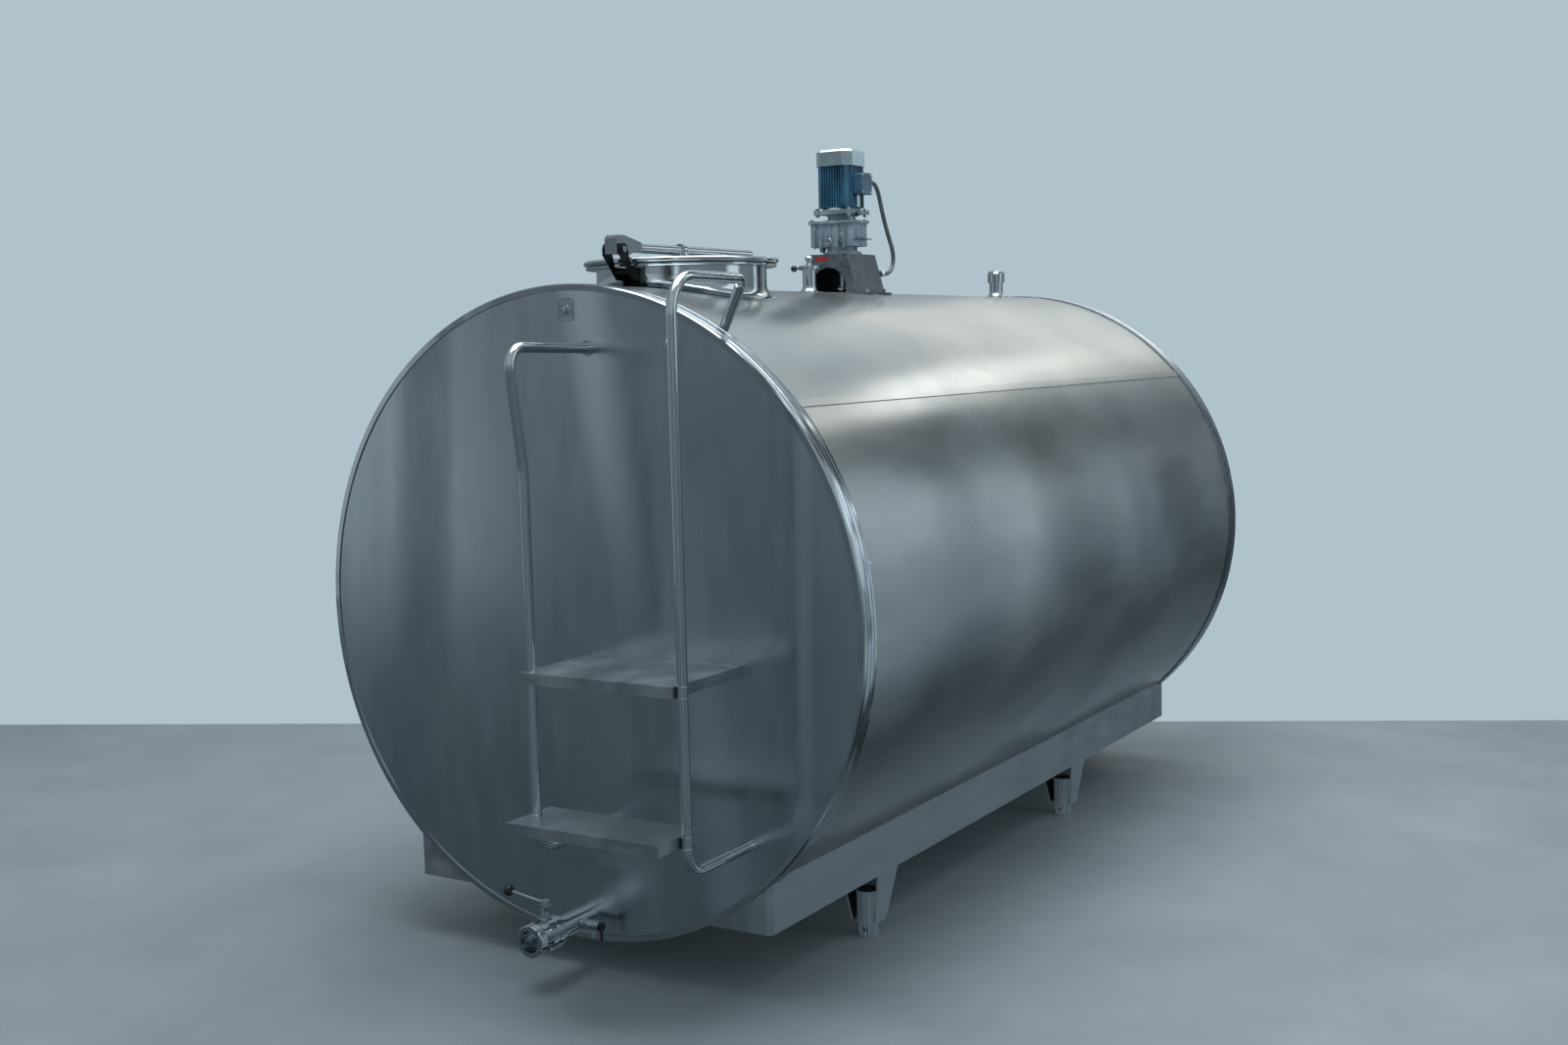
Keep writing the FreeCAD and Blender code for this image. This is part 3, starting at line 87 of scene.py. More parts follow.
# %% Colour and node helpers


def linear(code):
    """A hex colour such as #8a99a3 as linear red, green, blue and alpha."""
    parts = [int(code[i : i + 2], 16) / 255 for i in (1, 3, 5)]
    return [c / 12.92 if c <= 0.04045 else ((c + 0.055) / 1.055) ** 2.4 for c in parts] + [1.0]


def add_node(tree, kind, inputs=None, **settings):
    """Add a shader node: settings are its own choices, inputs are numbers or other nodes' outputs."""
    node = tree.nodes.new("ShaderNode" + kind)
    for name, value in settings.items():
        setattr(node, name, value)
    for name, value in (inputs or {}).items():
        if isinstance(value, bpy.types.NodeSocket):
            tree.links.new(value, node.inputs[name])
        else:
            node.inputs[name].default_value = value
    return node


def new_finish(name, colour, metallic, roughness, **constants):
    """A material with its shader's constants set on the shader itself."""
    material = bpy.data.materials.new(name)
    material.use_nodes = True
    tree = material.node_tree
    shader = tree.nodes["Principled BSDF"]
    shader.inputs["Base Color"].default_value = linear(colour)
    shader.inputs["Metallic"].default_value = metallic
    shader.inputs["Roughness"].default_value = roughness
    for socket, value in constants.items():
        shader.inputs[socket.replace("_", " ")].default_value = value
    return material, tree, shader


print("helpers ready")

# %% [markdown]
# Patterns in this lesson are noises in the object's own metres. A noise scale is cells per metre, so a
# pattern of a known size in millimetres has the scale 1000 / size. Stretching a pattern one way makes the
# long waves of rolled sheet or the fine lines of brushing.

# %% Pattern helpers


def stretched_noise(tree, cell_mm, detail=2.0, roughness=0.5):
    """A noise whose cells are cell_mm = (x, y, z) millimetres."""
    place = add_node(tree, "TexCoord")
    stretch = add_node(
        tree, "Mapping", {"Vector": place.outputs["Object"], "Scale": [1000 / c for c in cell_mm]}
    )
    noise = add_node(
        tree,
        "TexNoise",
        {"Vector": stretch.outputs["Vector"], "Scale": 1.0, "Detail": detail, "Roughness": roughness},
    )
    return noise.outputs["Fac"]


def spread(tree, value, low, high, start=0.3, end=0.7):
    """Stretch a value from its span, which is a noise's usual one unless given, to low and high."""
    remap = add_node(
        tree,
        "MapRange",
        {"Value": value, "From Min": start, "From Max": end, "To Min": low, "To Max": high},
    )
    return remap.outputs["Result"]


def relief(tree, shader, layers):
    """Chain bumps, coarse ones first: (height, depth in mm, strength)."""
    normal = None
    for height, depth_mm, strength in layers:
        inputs = {"Height": height, "Distance": depth_mm * MM, "Strength": strength}
        if normal:
            inputs["Normal"] = normal
        normal = add_node(tree, "Bump", inputs).outputs["Normal"]
    tree.links.new(normal, shader.inputs["Normal"])


def mix_colours(tree, factor, first, second):
    """Blend two hex colours by a factor."""
    mix = add_node(tree, "Mix", {"Factor": factor}, data_type="RGBA")
    mix.inputs[6].default_value = linear(first)
    mix.inputs[7].default_value = linear(second)
    return mix.outputs[2]


print("pattern helpers ready")

# %% [markdown]
# Bright annealed stainless sheet is rolled between mirror rolls, so the front head is almost a mirror. A
# disc this wide is never truly flat: it dents in between its welds, and reflections run down it in soft
# upright waves. Two stretched noises give those waves, three soft ridges the folds between the ladder's
# welds and the rim, and a faint haze of wiping marks roughens it.

# %% Bright annealed sheet, for the heads
bright_sheet, tree, shader = new_finish("bright_annealed_sheet", "#B4BEC4", 1.0, 0.24)


def upright_fold(tree, at, width, lean):
    """A soft ridge in the sheet, at metres right of the axis, leaning by lean over its height."""
    place = add_node(tree, "TexCoord")
    spot = add_node(tree, "SeparateXYZ", {"Vector": place.outputs["Object"]})
    slant = add_node(tree, "Math", {0: spot.outputs["Z"], 1: lean, 2: at}, operation="MULTIPLY_ADD")
    gap = add_node(tree, "Math", {0: spot.outputs["X"], 1: slant.outputs[0]}, operation="SUBTRACT")
    away = add_node(tree, "Math", {0: gap.outputs[0]}, operation="ABSOLUTE")
    ridge = add_node(
        tree,
        "MapRange",
        {"Value": away.outputs[0], "From Min": 0.0, "From Max": width, "To Min": 1.0, "To Max": 0.0},
        interpolation_type="SMOOTHSTEP",
    )
    return ridge.outputs["Result"]


waves = stretched_noise(tree, (700, 400, 1900), detail=0.0)
creases = stretched_noise(tree, (300, 400, 1500), detail=0.0)
wiping = stretched_noise(tree, (60, 60, 240), detail=4.0)
right_fold = upright_fold(tree, 0.60, 0.06, 0.02)
middle_fold = upright_fold(tree, 0.40, 0.16, -0.16)
left_fold = upright_fold(tree, -0.62, 0.2, 0.05)
folds = [(right_fold, 2.2, 1.0), (middle_fold, 5.0, 1.0), (left_fold, 7.0, 1.0)]
relief(tree, shader, [(waves, 26, 1.0), (creases, 2.5, 1.0), *folds])
tree.links.new(spread(tree, wiping, 0.2, 0.29), shader.inputs["Roughness"])
tone = spread(tree, stretched_noise(tree, (500, 300, 1500), detail=1.0), 0.0, 1.0)
tree.links.new(mix_colours(tree, tone, "#A7B3BA", "#BEC7CB"), shader.inputs["Base Color"])
print(bright_sheet.name)

# %% [markdown]
# Cold rolled sheet with the 2B finish is greyer and softer: pickled, then lightly rolled. Wrapped round the
# tank it keeps a slight bulge between the inner ribs, which bends its broad highlights. Its rolling lines
# are 0.05 mm apart, too fine to see, so only the roughness of the finish stands for them.

# %% Cold rolled sheet, for the cladding
rolled_sheet, tree, shader = new_finish("cold_rolled_sheet", "#B4BABD", 1.0, 0.27)
bulges = stretched_noise(tree, (900, 620, 800), detail=0.0)
ripples = stretched_noise(tree, (260, 220, 260), detail=0.0)
relief(tree, shader, [(bulges, 16, 1.0), (ripples, 1.2, 1.0)])
haze = stretched_noise(tree, (200, 500, 200), detail=3.0)
tree.links.new(spread(tree, haze, 0.2, 0.3), shader.inputs["Roughness"])
tone = spread(tree, stretched_noise(tree, (500, 800, 300), detail=2.0), 0.0, 1.0)
tree.links.new(mix_colours(tree, tone, "#B2B9BD", "#C6C8C5"), shader.inputs["Base Color"])
print(rolled_sheet.name)

# %% [markdown]
# Handrails, the trim ring, the manhole and the dairy fittings are ground and polished, because milk must not
# cling to them. Polish leaves a low roughness; very faint marks stop it from looking like liquid metal.

# %% Polished stainless
polished_steel, tree, shader = new_finish("polished_stainless", "#C3CACE", 1.0, 0.1)
marks = stretched_noise(tree, (8, 8, 30), detail=3.0)
tree.links.new(spread(tree, marks, 0.06, 0.17), shader.inputs["Roughness"])
relief(tree, shader, [(stretched_noise(tree, (25, 25, 60)), 0.25, 1.0)])
print(polished_steel.name)

# %% [markdown]
# The ring round the head is a rolled band with a few shallow lines turned into it. The lines follow the
# tank's length, so a wave pattern along Y draws them, with 14 mm from line to line.

# %% Ring band
ring_band, tree, shader = new_finish("rolled_ring_band", "#B9C1C6", 1.0, 0.14)
place = add_node(tree, "TexCoord")
along = add_node(tree, "SeparateXYZ", {"Vector": place.outputs["Object"]})
turns = add_node(tree, "Math", {0: along.outputs["Y"], 1: 1000 / 14}, operation="MULTIPLY")
groove = add_node(tree, "Math", {0: turns.outputs[0], 1: 0.5}, operation="PINGPONG")
line = spread(tree, groove.outputs[0], 0.0, 1.0, start=0.0, end=0.09)
dents = stretched_noise(tree, (120, 60, 120), detail=1.0)
relief(tree, shader, [(dents, 3, 1.0), (line, 0.8, 1.0)])
print(ring_band.name)

# %% [markdown]
# Skirts, steps and legs are cut from brushed sheet, folded and welded. Brushing with a 180 grit belt leaves
# short parallel scratches, which spread reflections across their direction. They are drawn 1.5 mm apart,
# coarser than real, and the handled sheet has cloudy patches of rougher steel.

# %% Brushed sheet, for skirts, steps and legs
brushed_sheet, tree, shader = new_finish("brushed_folded_sheet", "#B3BABE", 1.0, 0.34)
scratches = stretched_noise(tree, (1.5, 90, 1.5), detail=2.0)
clouds = stretched_noise(tree, (90, 160, 60), detail=4.0)
relief(tree, shader, [(stretched_noise(tree, (160, 300, 90), detail=1.0), 3, 1.0), (scratches, 0.03, 0.7)])
tree.links.new(spread(tree, clouds, 0.27, 0.45), shader.inputs["Roughness"])
cloud_tone = spread(tree, clouds, 0.0, 1.0)
tree.links.new(mix_colours(tree, cloud_tone, "#A6AEB3", "#BEC4C7"), shader.inputs["Base Color"])
print(brushed_sheet.name)

# %% [markdown]
# The hood under the gearbox is the same steel left dull by welding heat. The lid's hinge is blackened in a
# hot salt bath, which leaves a dark, slightly uneven oxide.

# %% Dull welded steel
dull_steel, tree, shader = new_finish("dull_welded_steel", "#6F7678", 1.0, 0.48)
grain = stretched_noise(tree, (14, 14, 14), detail=5.0)
relief(tree, shader, [(grain, 0.25, 1.0)])
grain_tone = spread(tree, grain, 0.0, 1.0)
tree.links.new(mix_colours(tree, grain_tone, "#5D6467", "#838A8C"), shader.inputs["Base Color"])
tree.links.new(spread(tree, grain, 0.4, 0.58), shader.inputs["Roughness"])
blackened_steel, tree, shader = new_finish("blackened_steel", "#2B3033", 1.0, 0.38)
oxide = stretched_noise(tree, (10, 10, 10), detail=4.0)
relief(tree, shader, [(oxide, 0.2, 1.0)])
tree.links.new(spread(tree, oxide, 0.3, 0.5), shader.inputs["Roughness"])
print(dull_steel.name, blackened_steel.name)

# %% [markdown]
# The gearbox and the motor's feet and flange are cast aluminium with a thin grey coat. Sand casting leaves
# a fine orange peel, about 2 mm from bump to bump, and dirt gathers in the low spots.

# %% Coated casting
coated_casting, tree, shader = new_finish("grey_coated_casting", "#8D9A9F", 0.35, 0.42, IOR=1.5)
peel = stretched_noise(tree, (2.2, 2.2, 2.2), detail=3.0)
dirt = stretched_noise(tree, (28, 28, 45), detail=5.0, roughness=0.6)
relief(tree, shader, [(dirt, 0.5, 0.6), (peel, 0.12, 0.8)])
dirt_tone = spread(tree, dirt, 0.0, 1.0)
tree.links.new(mix_colours(tree, dirt_tone, "#6C7F8A", "#A9BAC4"), shader.inputs["Base Color"])
print(coated_casting.name)

# %% [markdown]
# Electric motors are sprayed with a blue-black enamel over the cast fins. A clear gloss lies over the
# pigment, which a thin coat layer gives.

# %% Motor enamel
motor_enamel, tree, shader = new_finish("blue_black_enamel", "#152A3A", 0.0, 0.38, IOR=1.52, Coat_Weight=0.5)
shader.inputs["Coat Roughness"].default_value = 0.16
dust = stretched_noise(tree, (30, 30, 60), detail=4.0)
relief(tree, shader, [(stretched_noise(tree, (3, 3, 3)), 0.06, 0.7)])
dust_tone = spread(tree, dust, 0.0, 1.0)
tree.links.new(mix_colours(tree, dust_tone, "#1E3A4C", "#37708C"), shader.inputs["Base Color"])
print(motor_enamel.name)

# %% [markdown]
# The cowl over the fan is pressed from bright zinc plated sheet. Zinc grows in patches of slightly
# different tilt, so cells of a Voronoi pattern about 9 mm across shift its colour.

# %% Zinc plated cowl
zinc_plate, tree, shader = new_finish("zinc_plated_sheet", "#BFD0D6", 1.0, 0.22)
place = add_node(tree, "TexCoord")
spangle = add_node(tree, "TexVoronoi", {"Vector": place.outputs["Object"], "Scale": 1000 / 9})
cells = spangle.outputs["Distance"]
tree.links.new(mix_colours(tree, cells, "#AFC6CE", "#D4DEE0"), shader.inputs["Base Color"])
relief(tree, shader, [(stretched_noise(tree, (30, 30, 30)), 0.5, 1.0)])
print(zinc_plate.name)

# %% [markdown]
# Knobs are moulded phenolic: black, hard and glossy. The conduit's jacket is extruded PVC, duller, with a
# slight ripple along it. The gasket is white food grade rubber.

# %% Phenolic, PVC and rubber
black_phenolic, tree, shader = new_finish("black_phenolic", "#0C0D0E", 0.0, 0.24, IOR=1.55)
relief(tree, shader, [(stretched_noise(tree, (6, 6, 6)), 0.1, 0.6)])
smears = stretched_noise(tree, (9, 9, 9), detail=4.0)
tree.links.new(spread(tree, smears, 0.18, 0.34), shader.inputs["Roughness"])
grey_jacket, tree, shader = new_finish("grey_pvc_jacket", "#5C696F", 0.0, 0.42, IOR=1.53)
relief(tree, shader, [(stretched_noise(tree, (4, 4, 4), detail=3.0), 0.3, 0.6)])
soot = spread(tree, stretched_noise(tree, (20, 20, 40), detail=3.0), 0.0, 1.0)
tree.links.new(mix_colours(tree, soot, "#4A565C", "#6E7B80"), shader.inputs["Base Color"])
white_rubber, tree, shader = new_finish("white_food_rubber", "#D8D8D0", 0.0, 0.55, IOR=1.52)
relief(tree, shader, [(stretched_noise(tree, (5, 5, 5)), 0.2, 0.5)])
print(black_phenolic.name, grey_jacket.name, white_rubber.name)

# %% [markdown]
# Three more finishes lie out of sight, inside the tank and the gearbox: oiled gear steel, polyurethane foam
# and the fan's glass filled nylon. The red of a blank label is a printed vinyl.

# %% Hidden finishes and label vinyl
gear_steel, tree, shader = new_finish("oiled_gear_steel", "#7D8082", 1.0, 0.3)
relief(tree, shader, [(stretched_noise(tree, (1.2, 1.2, 20)), 0.03, 0.6)])
rigid_foam, tree, shader = new_finish("polyurethane_foam", "#D9C691", 0.0, 0.9, IOR=1.45)
relief(tree, shader, [(stretched_noise(tree, (3, 3, 3), detail=4.0), 1.0, 1.0)])
fan_nylon, tree, shader = new_finish("glass_filled_nylon", "#1B1D1F", 0.0, 0.5, IOR=1.53)
relief(tree, shader, [(stretched_noise(tree, (1.5, 1.5, 1.5)), 0.05, 0.5)])
red_vinyl, tree, shader = new_finish("red_label_vinyl", "#B31B22", 0.0, 0.35, IOR=1.5)
fade = spread(tree, stretched_noise(tree, (6, 6, 6), detail=4.0), 0.0, 1.0)
tree.links.new(mix_colours(tree, fade, "#8E1519", "#C8262C"), shader.inputs["Base Color"])
print(gear_steel.name, rigid_foam.name, fan_nylon.name, red_vinyl.name)

# %% [markdown]
# Each solid part now gets its finish. Its mesh already knows its smooth and sharp edges, so a mirror finish
# shows no flat facets and only the material has to change.

# %% Give each solid part its finish
finishes = {
    bright_sheet: "front_head rear_head",
    rolled_sheet: "outer_shell shell_seam_strips inner_vessel evaporator",
    ring_band: "front_trim_ring rear_trim_ring",
    polished_steel: "front_left_foot rear_left_foot front_right_foot rear_right_foot left_ladder_rail "
    "right_ladder_rail manhole_neck manhole_collar hinge_pin manhole_lid lid_bar lid_boss "
    "spray_port spray_port_cap spray_port_clamp spray_ball vent_neck vent_cap agitator_port agitator_shaft "
    "outlet_pipe valve_seat outlet_union hex_fasteners valve_bonnet valve_disc valve_lever sample_cock",
    brushed_sheet: "left_skirt right_skirt upper_step lower_step legs",
    dull_steel: "agitator_bracket",
    blackened_steel: "hinge_bracket",
    coated_casting: "gearbox_housing gearbox_cover",
    motor_enamel: "motor_frame terminal_box",
    zinc_plate: "fan_cowl conduit_glands",
    black_phenolic: "lever_knob sample_handle",
    grey_jacket: "motor_conduit",
    white_rubber: "lid_seal",
    gear_steel: "output_gear layshaft_gears motor_rotor shaft_bearings stator_core",
    rigid_foam: "insulation_foam",
    fan_nylon: "cooling_fan",
}
for finish, names in finishes.items():
    for name in names.split():
        mesh = nodes[name].data
        mesh.materials.clear()
        mesh.materials.append(finish)
print(sum(len(names.split()) for names in finishes.values()), "solid parts have a finish")

# %% [markdown]
# ## Small pieces
# Each small piece is modelled where it sits and then rides on the body it is fixed to. Six helpers make
# them: one closes a mesh into a piece, one turns it to face a way, one spins an outline, one cuts a plate,
# one lays a weld bead and one lists points round a circle.

# %% Helpers for small pieces


def finish_piece(name, builder, finish, body):
    """Close a mesh into a piece: smooth with sharp corners, riding on a body."""
    mesh = bpy.data.meshes.new(name)
    bmesh.ops.recalc_face_normals(builder, faces=builder.faces)
    builder.to_mesh(mesh)
    builder.free()
    mesh.materials.append(finish)
    mesh.shade_smooth()
    mesh.set_sharp_from_angle(angle=math.radians(30))
    piece = bpy.data.objects.new(name, mesh)
    bpy.context.collection.objects.link(piece)
    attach(piece, body)
    return piece


def facing(centre, normal):
    """The turn and move that lay +Z along a normal at a place."""
    return Matrix.Translation(centre) @ Vector(normal).to_track_quat("Z", "Y").to_matrix().to_4x4()


def add_spun(builder, outline, centre, normal, steps=32):
    """Spin an outline of (radius, height) pairs, its axis along the normal."""
    rim = [builder.verts.new((radius, 0, height)) for radius, height in outline]
    edges = [builder.edges.new(pair) for pair in zip(rim, rim[1:])]
    spun = bmesh.ops.spin(
        builder,
        geom=rim + edges,
        cent=(0, 0, 0),
        axis=(0, 0, 1),
        angle=math.tau,
        steps=steps,
        use_merge=True,
    )
    made = {vert for vert in rim if vert.is_valid}
    made |= {item for item in spun["geom_last"] if isinstance(item, bmesh.types.BMVert)}
    seeds = list(made)
    while seeds:
        for edge in seeds.pop().link_edges:
            for vert in edge.verts:
                if vert not in made:
                    made.add(vert)
                    seeds.append(vert)
    bmesh.ops.transform(builder, matrix=facing(centre, normal), verts=list(made))
    bmesh.ops.remove_doubles(builder, verts=list(made), dist=1e-6)


def add_plate(builder, width, height, thickness, corner, placing, edge=0.3):
    """A plate with round corners and a softened front edge, its back on the placing's XY plane."""
    outline = []
    for quarter in range(4):
        middle_x = (width / 2 - corner) * (1 if quarter in (0, 3) else -1)
        middle_y = (height / 2 - corner) * (1 if quarter in (0, 1) else -1)
        for step in range(7):
            angle = math.radians(90 * quarter + 15 * step)
            outline.append((middle_x + corner * math.cos(angle), middle_y + corner * math.sin(angle)))
    soft = thickness * edge
    levels = [(0.0, 0.0), (thickness - soft, 0.0), (thickness, soft)]
    rings = []
    for level, inset in levels:
        shrink_x, shrink_y = 1 - 2 * inset / width, 1 - 2 * inset / height
        places = [placing @ Vector((x * shrink_x, y * shrink_y, level)) for x, y in outline]
        rings.append([builder.verts.new(place) for place in places])
    count = len(outline)
    for low, high in zip(rings, rings[1:]):
        for i in range(count):
            builder.faces.new((low[i], low[(i + 1) % count], high[(i + 1) % count], high[i]))
    builder.faces.new(rings[0][::-1])
    builder.faces.new(rings[-1])


def weld_bead(name, points, radius, body, closed=False):
    """A run of weld metal along a line of points."""
    curve = bpy.data.curves.new(name, "CURVE")
    curve.dimensions = "3D"
    curve.bevel_depth = radius
    curve.bevel_resolution = 2
    line = curve.splines.new("POLY")
    line.points.add(len(points) - 1)
    for point, place in zip(line.points, points):
        point.co = (*place, 1.0)
    line.use_cyclic_u = closed
    curve.materials.append(weld_metal)
    bead = bpy.data.objects.new(name, curve)
    bpy.context.collection.objects.link(bead)
    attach(bead, body)
    return bead


def ring_of(centre, normal, radius, steps=40):
    """Points round a circle."""
    placing = facing(centre, normal)
    turns = [math.tau * i / steps for i in range(steps)]
    return [placing @ Vector((radius * math.cos(turn), radius * math.sin(turn), 0)) for turn in turns]


print("piece helpers ready")

# %% [markdown]
# Weld metal on stainless is ground nearly flush and pickled. It stays a little duller than the sheet, and
# small ripples of the weld pool remain, about 1 mm apart.

# %% Weld metal
weld_metal, tree, shader = new_finish("pickled_weld_metal", "#AAB1B4", 1.0, 0.36)
relief(tree, shader, [(stretched_noise(tree, (2, 2, 2), detail=3.0), 0.15, 1.0)])
heat = spread(tree, stretched_noise(tree, (18, 18, 18), detail=3.0), 0.0, 1.0)
tree.links.new(mix_colours(tree, heat, "#8F979B", "#BFC4C4"), shader.inputs["Base Color"])
print(weld_metal.name)

# %% [markdown]
# ### Welds
# The ladder's tubes pass through both steps, and the upper step runs back to the head. A bead closes each
# of those joints. Two long runs close the skirts against the cladding.

# %% Welds on the ladder
rail_y, bead_reach = -1.457, 0.0128
for side, rail_x in (("left", 0.067), ("right", 0.487)):
    for step in ("upper_step", "lower_step"):
        step_low, step_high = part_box(step)
        for face, height in (("top", step_high.z), ("bottom", step_low.z)):
            ring = ring_of((rail_x, rail_y, height), (0, 0, 1), bead_reach)
            weld_bead(f"{side}_{step}_{face}_weld", ring, 0.0011, "tank", True)
step_low, step_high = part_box("upper_step")
back_ends = (step_low.x + 0.002, step_high.x - 0.002)
back_edge = [(end, front_y - 0.001, step_high.z) for end in back_ends]
weld_bead("upper_step_back_weld", back_edge, 0.0013, "tank")
print("ladder welds laid")

# %% Welds along the skirts
for side, name in ((-1, "left_skirt"), (1, "right_skirt")):
    skirt_low, skirt_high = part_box(name)
    height = skirt_high.z - axis_z
    reach = math.sqrt(shell_radius**2 - height**2)
    run = [(side * reach, skirt_low.y, skirt_high.z), (side * reach, skirt_high.y, skirt_high.z)]
    weld_bead(name + "_weld", run, 0.0018, "tank")
print("skirt welds laid")

# %% [markdown]
# ### Front head
# A badge plate is spot welded near the top of the head. It stays blank: a plate with a raised rim and a
# raised blank button. A small earth stud stands on the trim ring.

# %% Blank badge and earth stud
badge = bmesh.new()
badge_place = facing((0.008, front_y, 1.614), (0, -1, 0))
add_plate(badge, 0.046, 0.056, 0.0010, 0.008, badge_place)
rim_place = badge_place @ Matrix.Translation((0, 0, 0.0010))
for offset, wide, tall in ((-0.0255, 0.040, 0.0025), (0.0255, 0.040, 0.0025)):
    add_plate(badge, wide, tall, 0.0012, 0.0012, rim_place @ Matrix.Translation((0, offset, 0)))
for offset in (-0.0205, 0.0205):
    add_plate(badge, 0.0025, 0.048, 0.0012, 0.0012, rim_place @ Matrix.Translation((offset, 0, 0)))
button = [(0, 0.0012), (0.009, 0.0012), (0.0108, 0.0004), (0.0112, 0)]
add_spun(badge, button, rim_place.translation, (0, -1, 0))
finish_piece("blank_badge", badge, brushed_sheet, "tank")
stud = bmesh.new()
stud_way = Vector((0.981, 0, 0.2)).normalized()
stud_y, stud_sink = -1.147, 0.0005
ring_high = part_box("front_trim_ring")[1]
stud_foot = Vector((0, stud_y, axis_z)) + stud_way * (ring_high.x - stud_sink)
add_spun(stud, [(0.006, -0.004), (0.006, -0.0015), (0.005, 0), (0, 0.0002)], stud_foot, stud_way)
finish_piece("earth_stud", stud, polished_steel, "tank")
print("badge and stud placed")

# %% [markdown]
# ### Spray port
# The clamp closes with a black ball knob, moulded over its steel end.

# %% Clamp knob
knob = bmesh.new()
knob_radius, clamp_end = 0.0096, (-0.052, -0.047, 1.741)
bmesh.ops.create_uvsphere(
    knob, u_segments=32, v_segments=20, radius=knob_radius, matrix=Matrix.Translation(clamp_end)
)
finish_piece("clamp_knob", knob, black_phenolic, "tank")
print("clamp knob placed")

# %% [markdown]
# ### Gearbox and motor
# Ribs stiffen the gear casing and carry its heat away. An oil sight glass sits on the front and a breather
# on the cover. The motor carries a blank plate, its terminal box four cover screws, and three more screws
# hold the fan cowl. A blank red label is stuck on the hood below.

# %% Casing ribs, sight glass and breather
case_low, case_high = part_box("gearbox_housing")
case_middle = (case_low + case_high) / 2
ribs = bmesh.new()
rib_height = (case_high.z - case_low.z) * 0.62
for offset in (-0.05, -0.03, 0.03, 0.05):
    front_rib = facing((case_middle.x + offset, case_low.y, case_middle.z), (0, -1, 0))
    add_plate(ribs, 0.004, rib_height, 0.006, 0.0015, front_rib)
for offset in (-0.04, -0.02, 0.0, 0.02, 0.04):
    side_rib = facing((case_high.x, case_middle.y + offset, case_middle.z), (1, 0, 0))
    add_plate(ribs, rib_height, 0.004, 0.005, 0.0015, side_rib)
finish_piece("casing_ribs", ribs, coated_casting, "tank")
sight = bmesh.new()
rim = [(0.0098, 0), (0.0098, 0.0035), (0.0086, 0.0042), (0.0072, 0.0042), (0.0068, 0.0024), (0, 0.0022)]
add_spun(sight, rim, (case_middle.x, case_low.y, case_middle.z - 0.008), (0, -1, 0))
finish_piece("oil_sight_glass", sight, polished_steel, "tank")
cover_low, cover_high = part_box("gearbox_cover")
breather = bmesh.new()
plug = [(0.0, 0.009), (0.005, 0.009), (0.0065, 0.0075), (0.0065, 0.003), (0.0075, 0.003), (0.0075, 0)]
breather_at = (cover_high.x, cover_low.y + 0.03, (cover_low.z + cover_high.z) / 2)
add_spun(breather, plug, breather_at, (1, 0, 0))
finish_piece("breather_plug", breather, black_phenolic, "tank")
print("gearbox pieces placed")

# %% Plates and screws on the motor
box_low, box_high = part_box("terminal_box")
screws = bmesh.new()
head = [(0.0, 0.0014), (0.0012, 0.0014), (0.0023, 0.0009), (0.0027, 0)]
for end_y in (box_low.y + 0.007, box_high.y - 0.007):
    for end_z in (box_low.z + 0.007, box_high.z - 0.007):
        add_spun(screws, head, (box_high.x, end_y, end_z), (1, 0, 0), 20)
cowl_low, cowl_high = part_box("fan_cowl")
cowl_middle = (cowl_low + cowl_high) / 2
cowl_screw_z = cowl_low.z + 0.007
for way_x, way_y in ((-1, 0), (0, -1), (0, 1)):
    reach_x = way_x * (cowl_high.x - cowl_middle.x)
    reach_y = way_y * (cowl_high.y - cowl_middle.y)
    place = (cowl_middle.x + reach_x, cowl_middle.y + reach_y, cowl_screw_z)
    add_spun(screws, head, place, (way_x, way_y, 0), 20)
finish_piece("motor_screws", screws, polished_steel, "tank")
motor_low, motor_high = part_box("motor_frame")
motor_plate = bmesh.new()
plate_place = facing((motor_high.x, (motor_low.y + motor_high.y) / 2, motor_low.z + 0.020), (1, 0, 0))
add_plate(motor_plate, 0.018, 0.040, 0.0008, 0.002, plate_place)
finish_piece("blank_motor_plate", motor_plate, zinc_plate, "tank")
hood_low, hood_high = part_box("agitator_bracket")
label = bmesh.new()
label_place = facing((-0.02, hood_low.y, hood_high.z - 0.013), (0, -1, 0))
add_plate(label, 0.045, 0.010, 0.0004, 0.001, label_place)
finish_piece("blank_red_label", label, red_vinyl, "tank")
print("motor pieces placed")

# %% [markdown]
# ### Conduit
# The motor's cable runs in a flexible conduit, from the terminal box down to the hood. It is a smooth curve
# guided by a few points along the solid part's route, 13 mm across, and stands for that part.

# %% Conduit
route = [
    (0.072, 0.197, 2.003),
    (0.072, 0.227, 2.003),
    (0.074, 0.252, 1.976),
    (0.076, 0.271, 1.915),
    (0.078, 0.302, 1.848),
    (0.079, 0.334, 1.797),
    (0.080, 0.330, 1.755),
    (0.080, 0.298, 1.727),
    (0.080, 0.259, 1.727),
]
curve = bpy.data.curves.new("conduit", "CURVE")
curve.dimensions = "3D"
curve.bevel_depth = 0.0065
curve.bevel_resolution = 6
curve.resolution_u = 16
line = curve.splines.new("NURBS")
line.points.add(len(route) - 1)
for point, place in zip(line.points, route):
    point.co = (*place, 1.0)
line.order_u = 3
line.use_endpoint_u = True
curve.materials.append(grey_jacket)
conduit = bpy.data.objects.new("conduit", curve)
bpy.context.collection.objects.link(conduit)
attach(conduit, "tank")
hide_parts("motor_conduit")
print("conduit laid through", len(route), "points")

# %% [markdown]
# ## The studio
# Steel shows its surroundings more than itself. A pale floor lies under the tank. The room is a soft
# gradient, bright above and darker below, with brighter and darker bays from side to side as between the
# windows of a hall. The steel sees those, while the camera sees a plain pale wall behind.

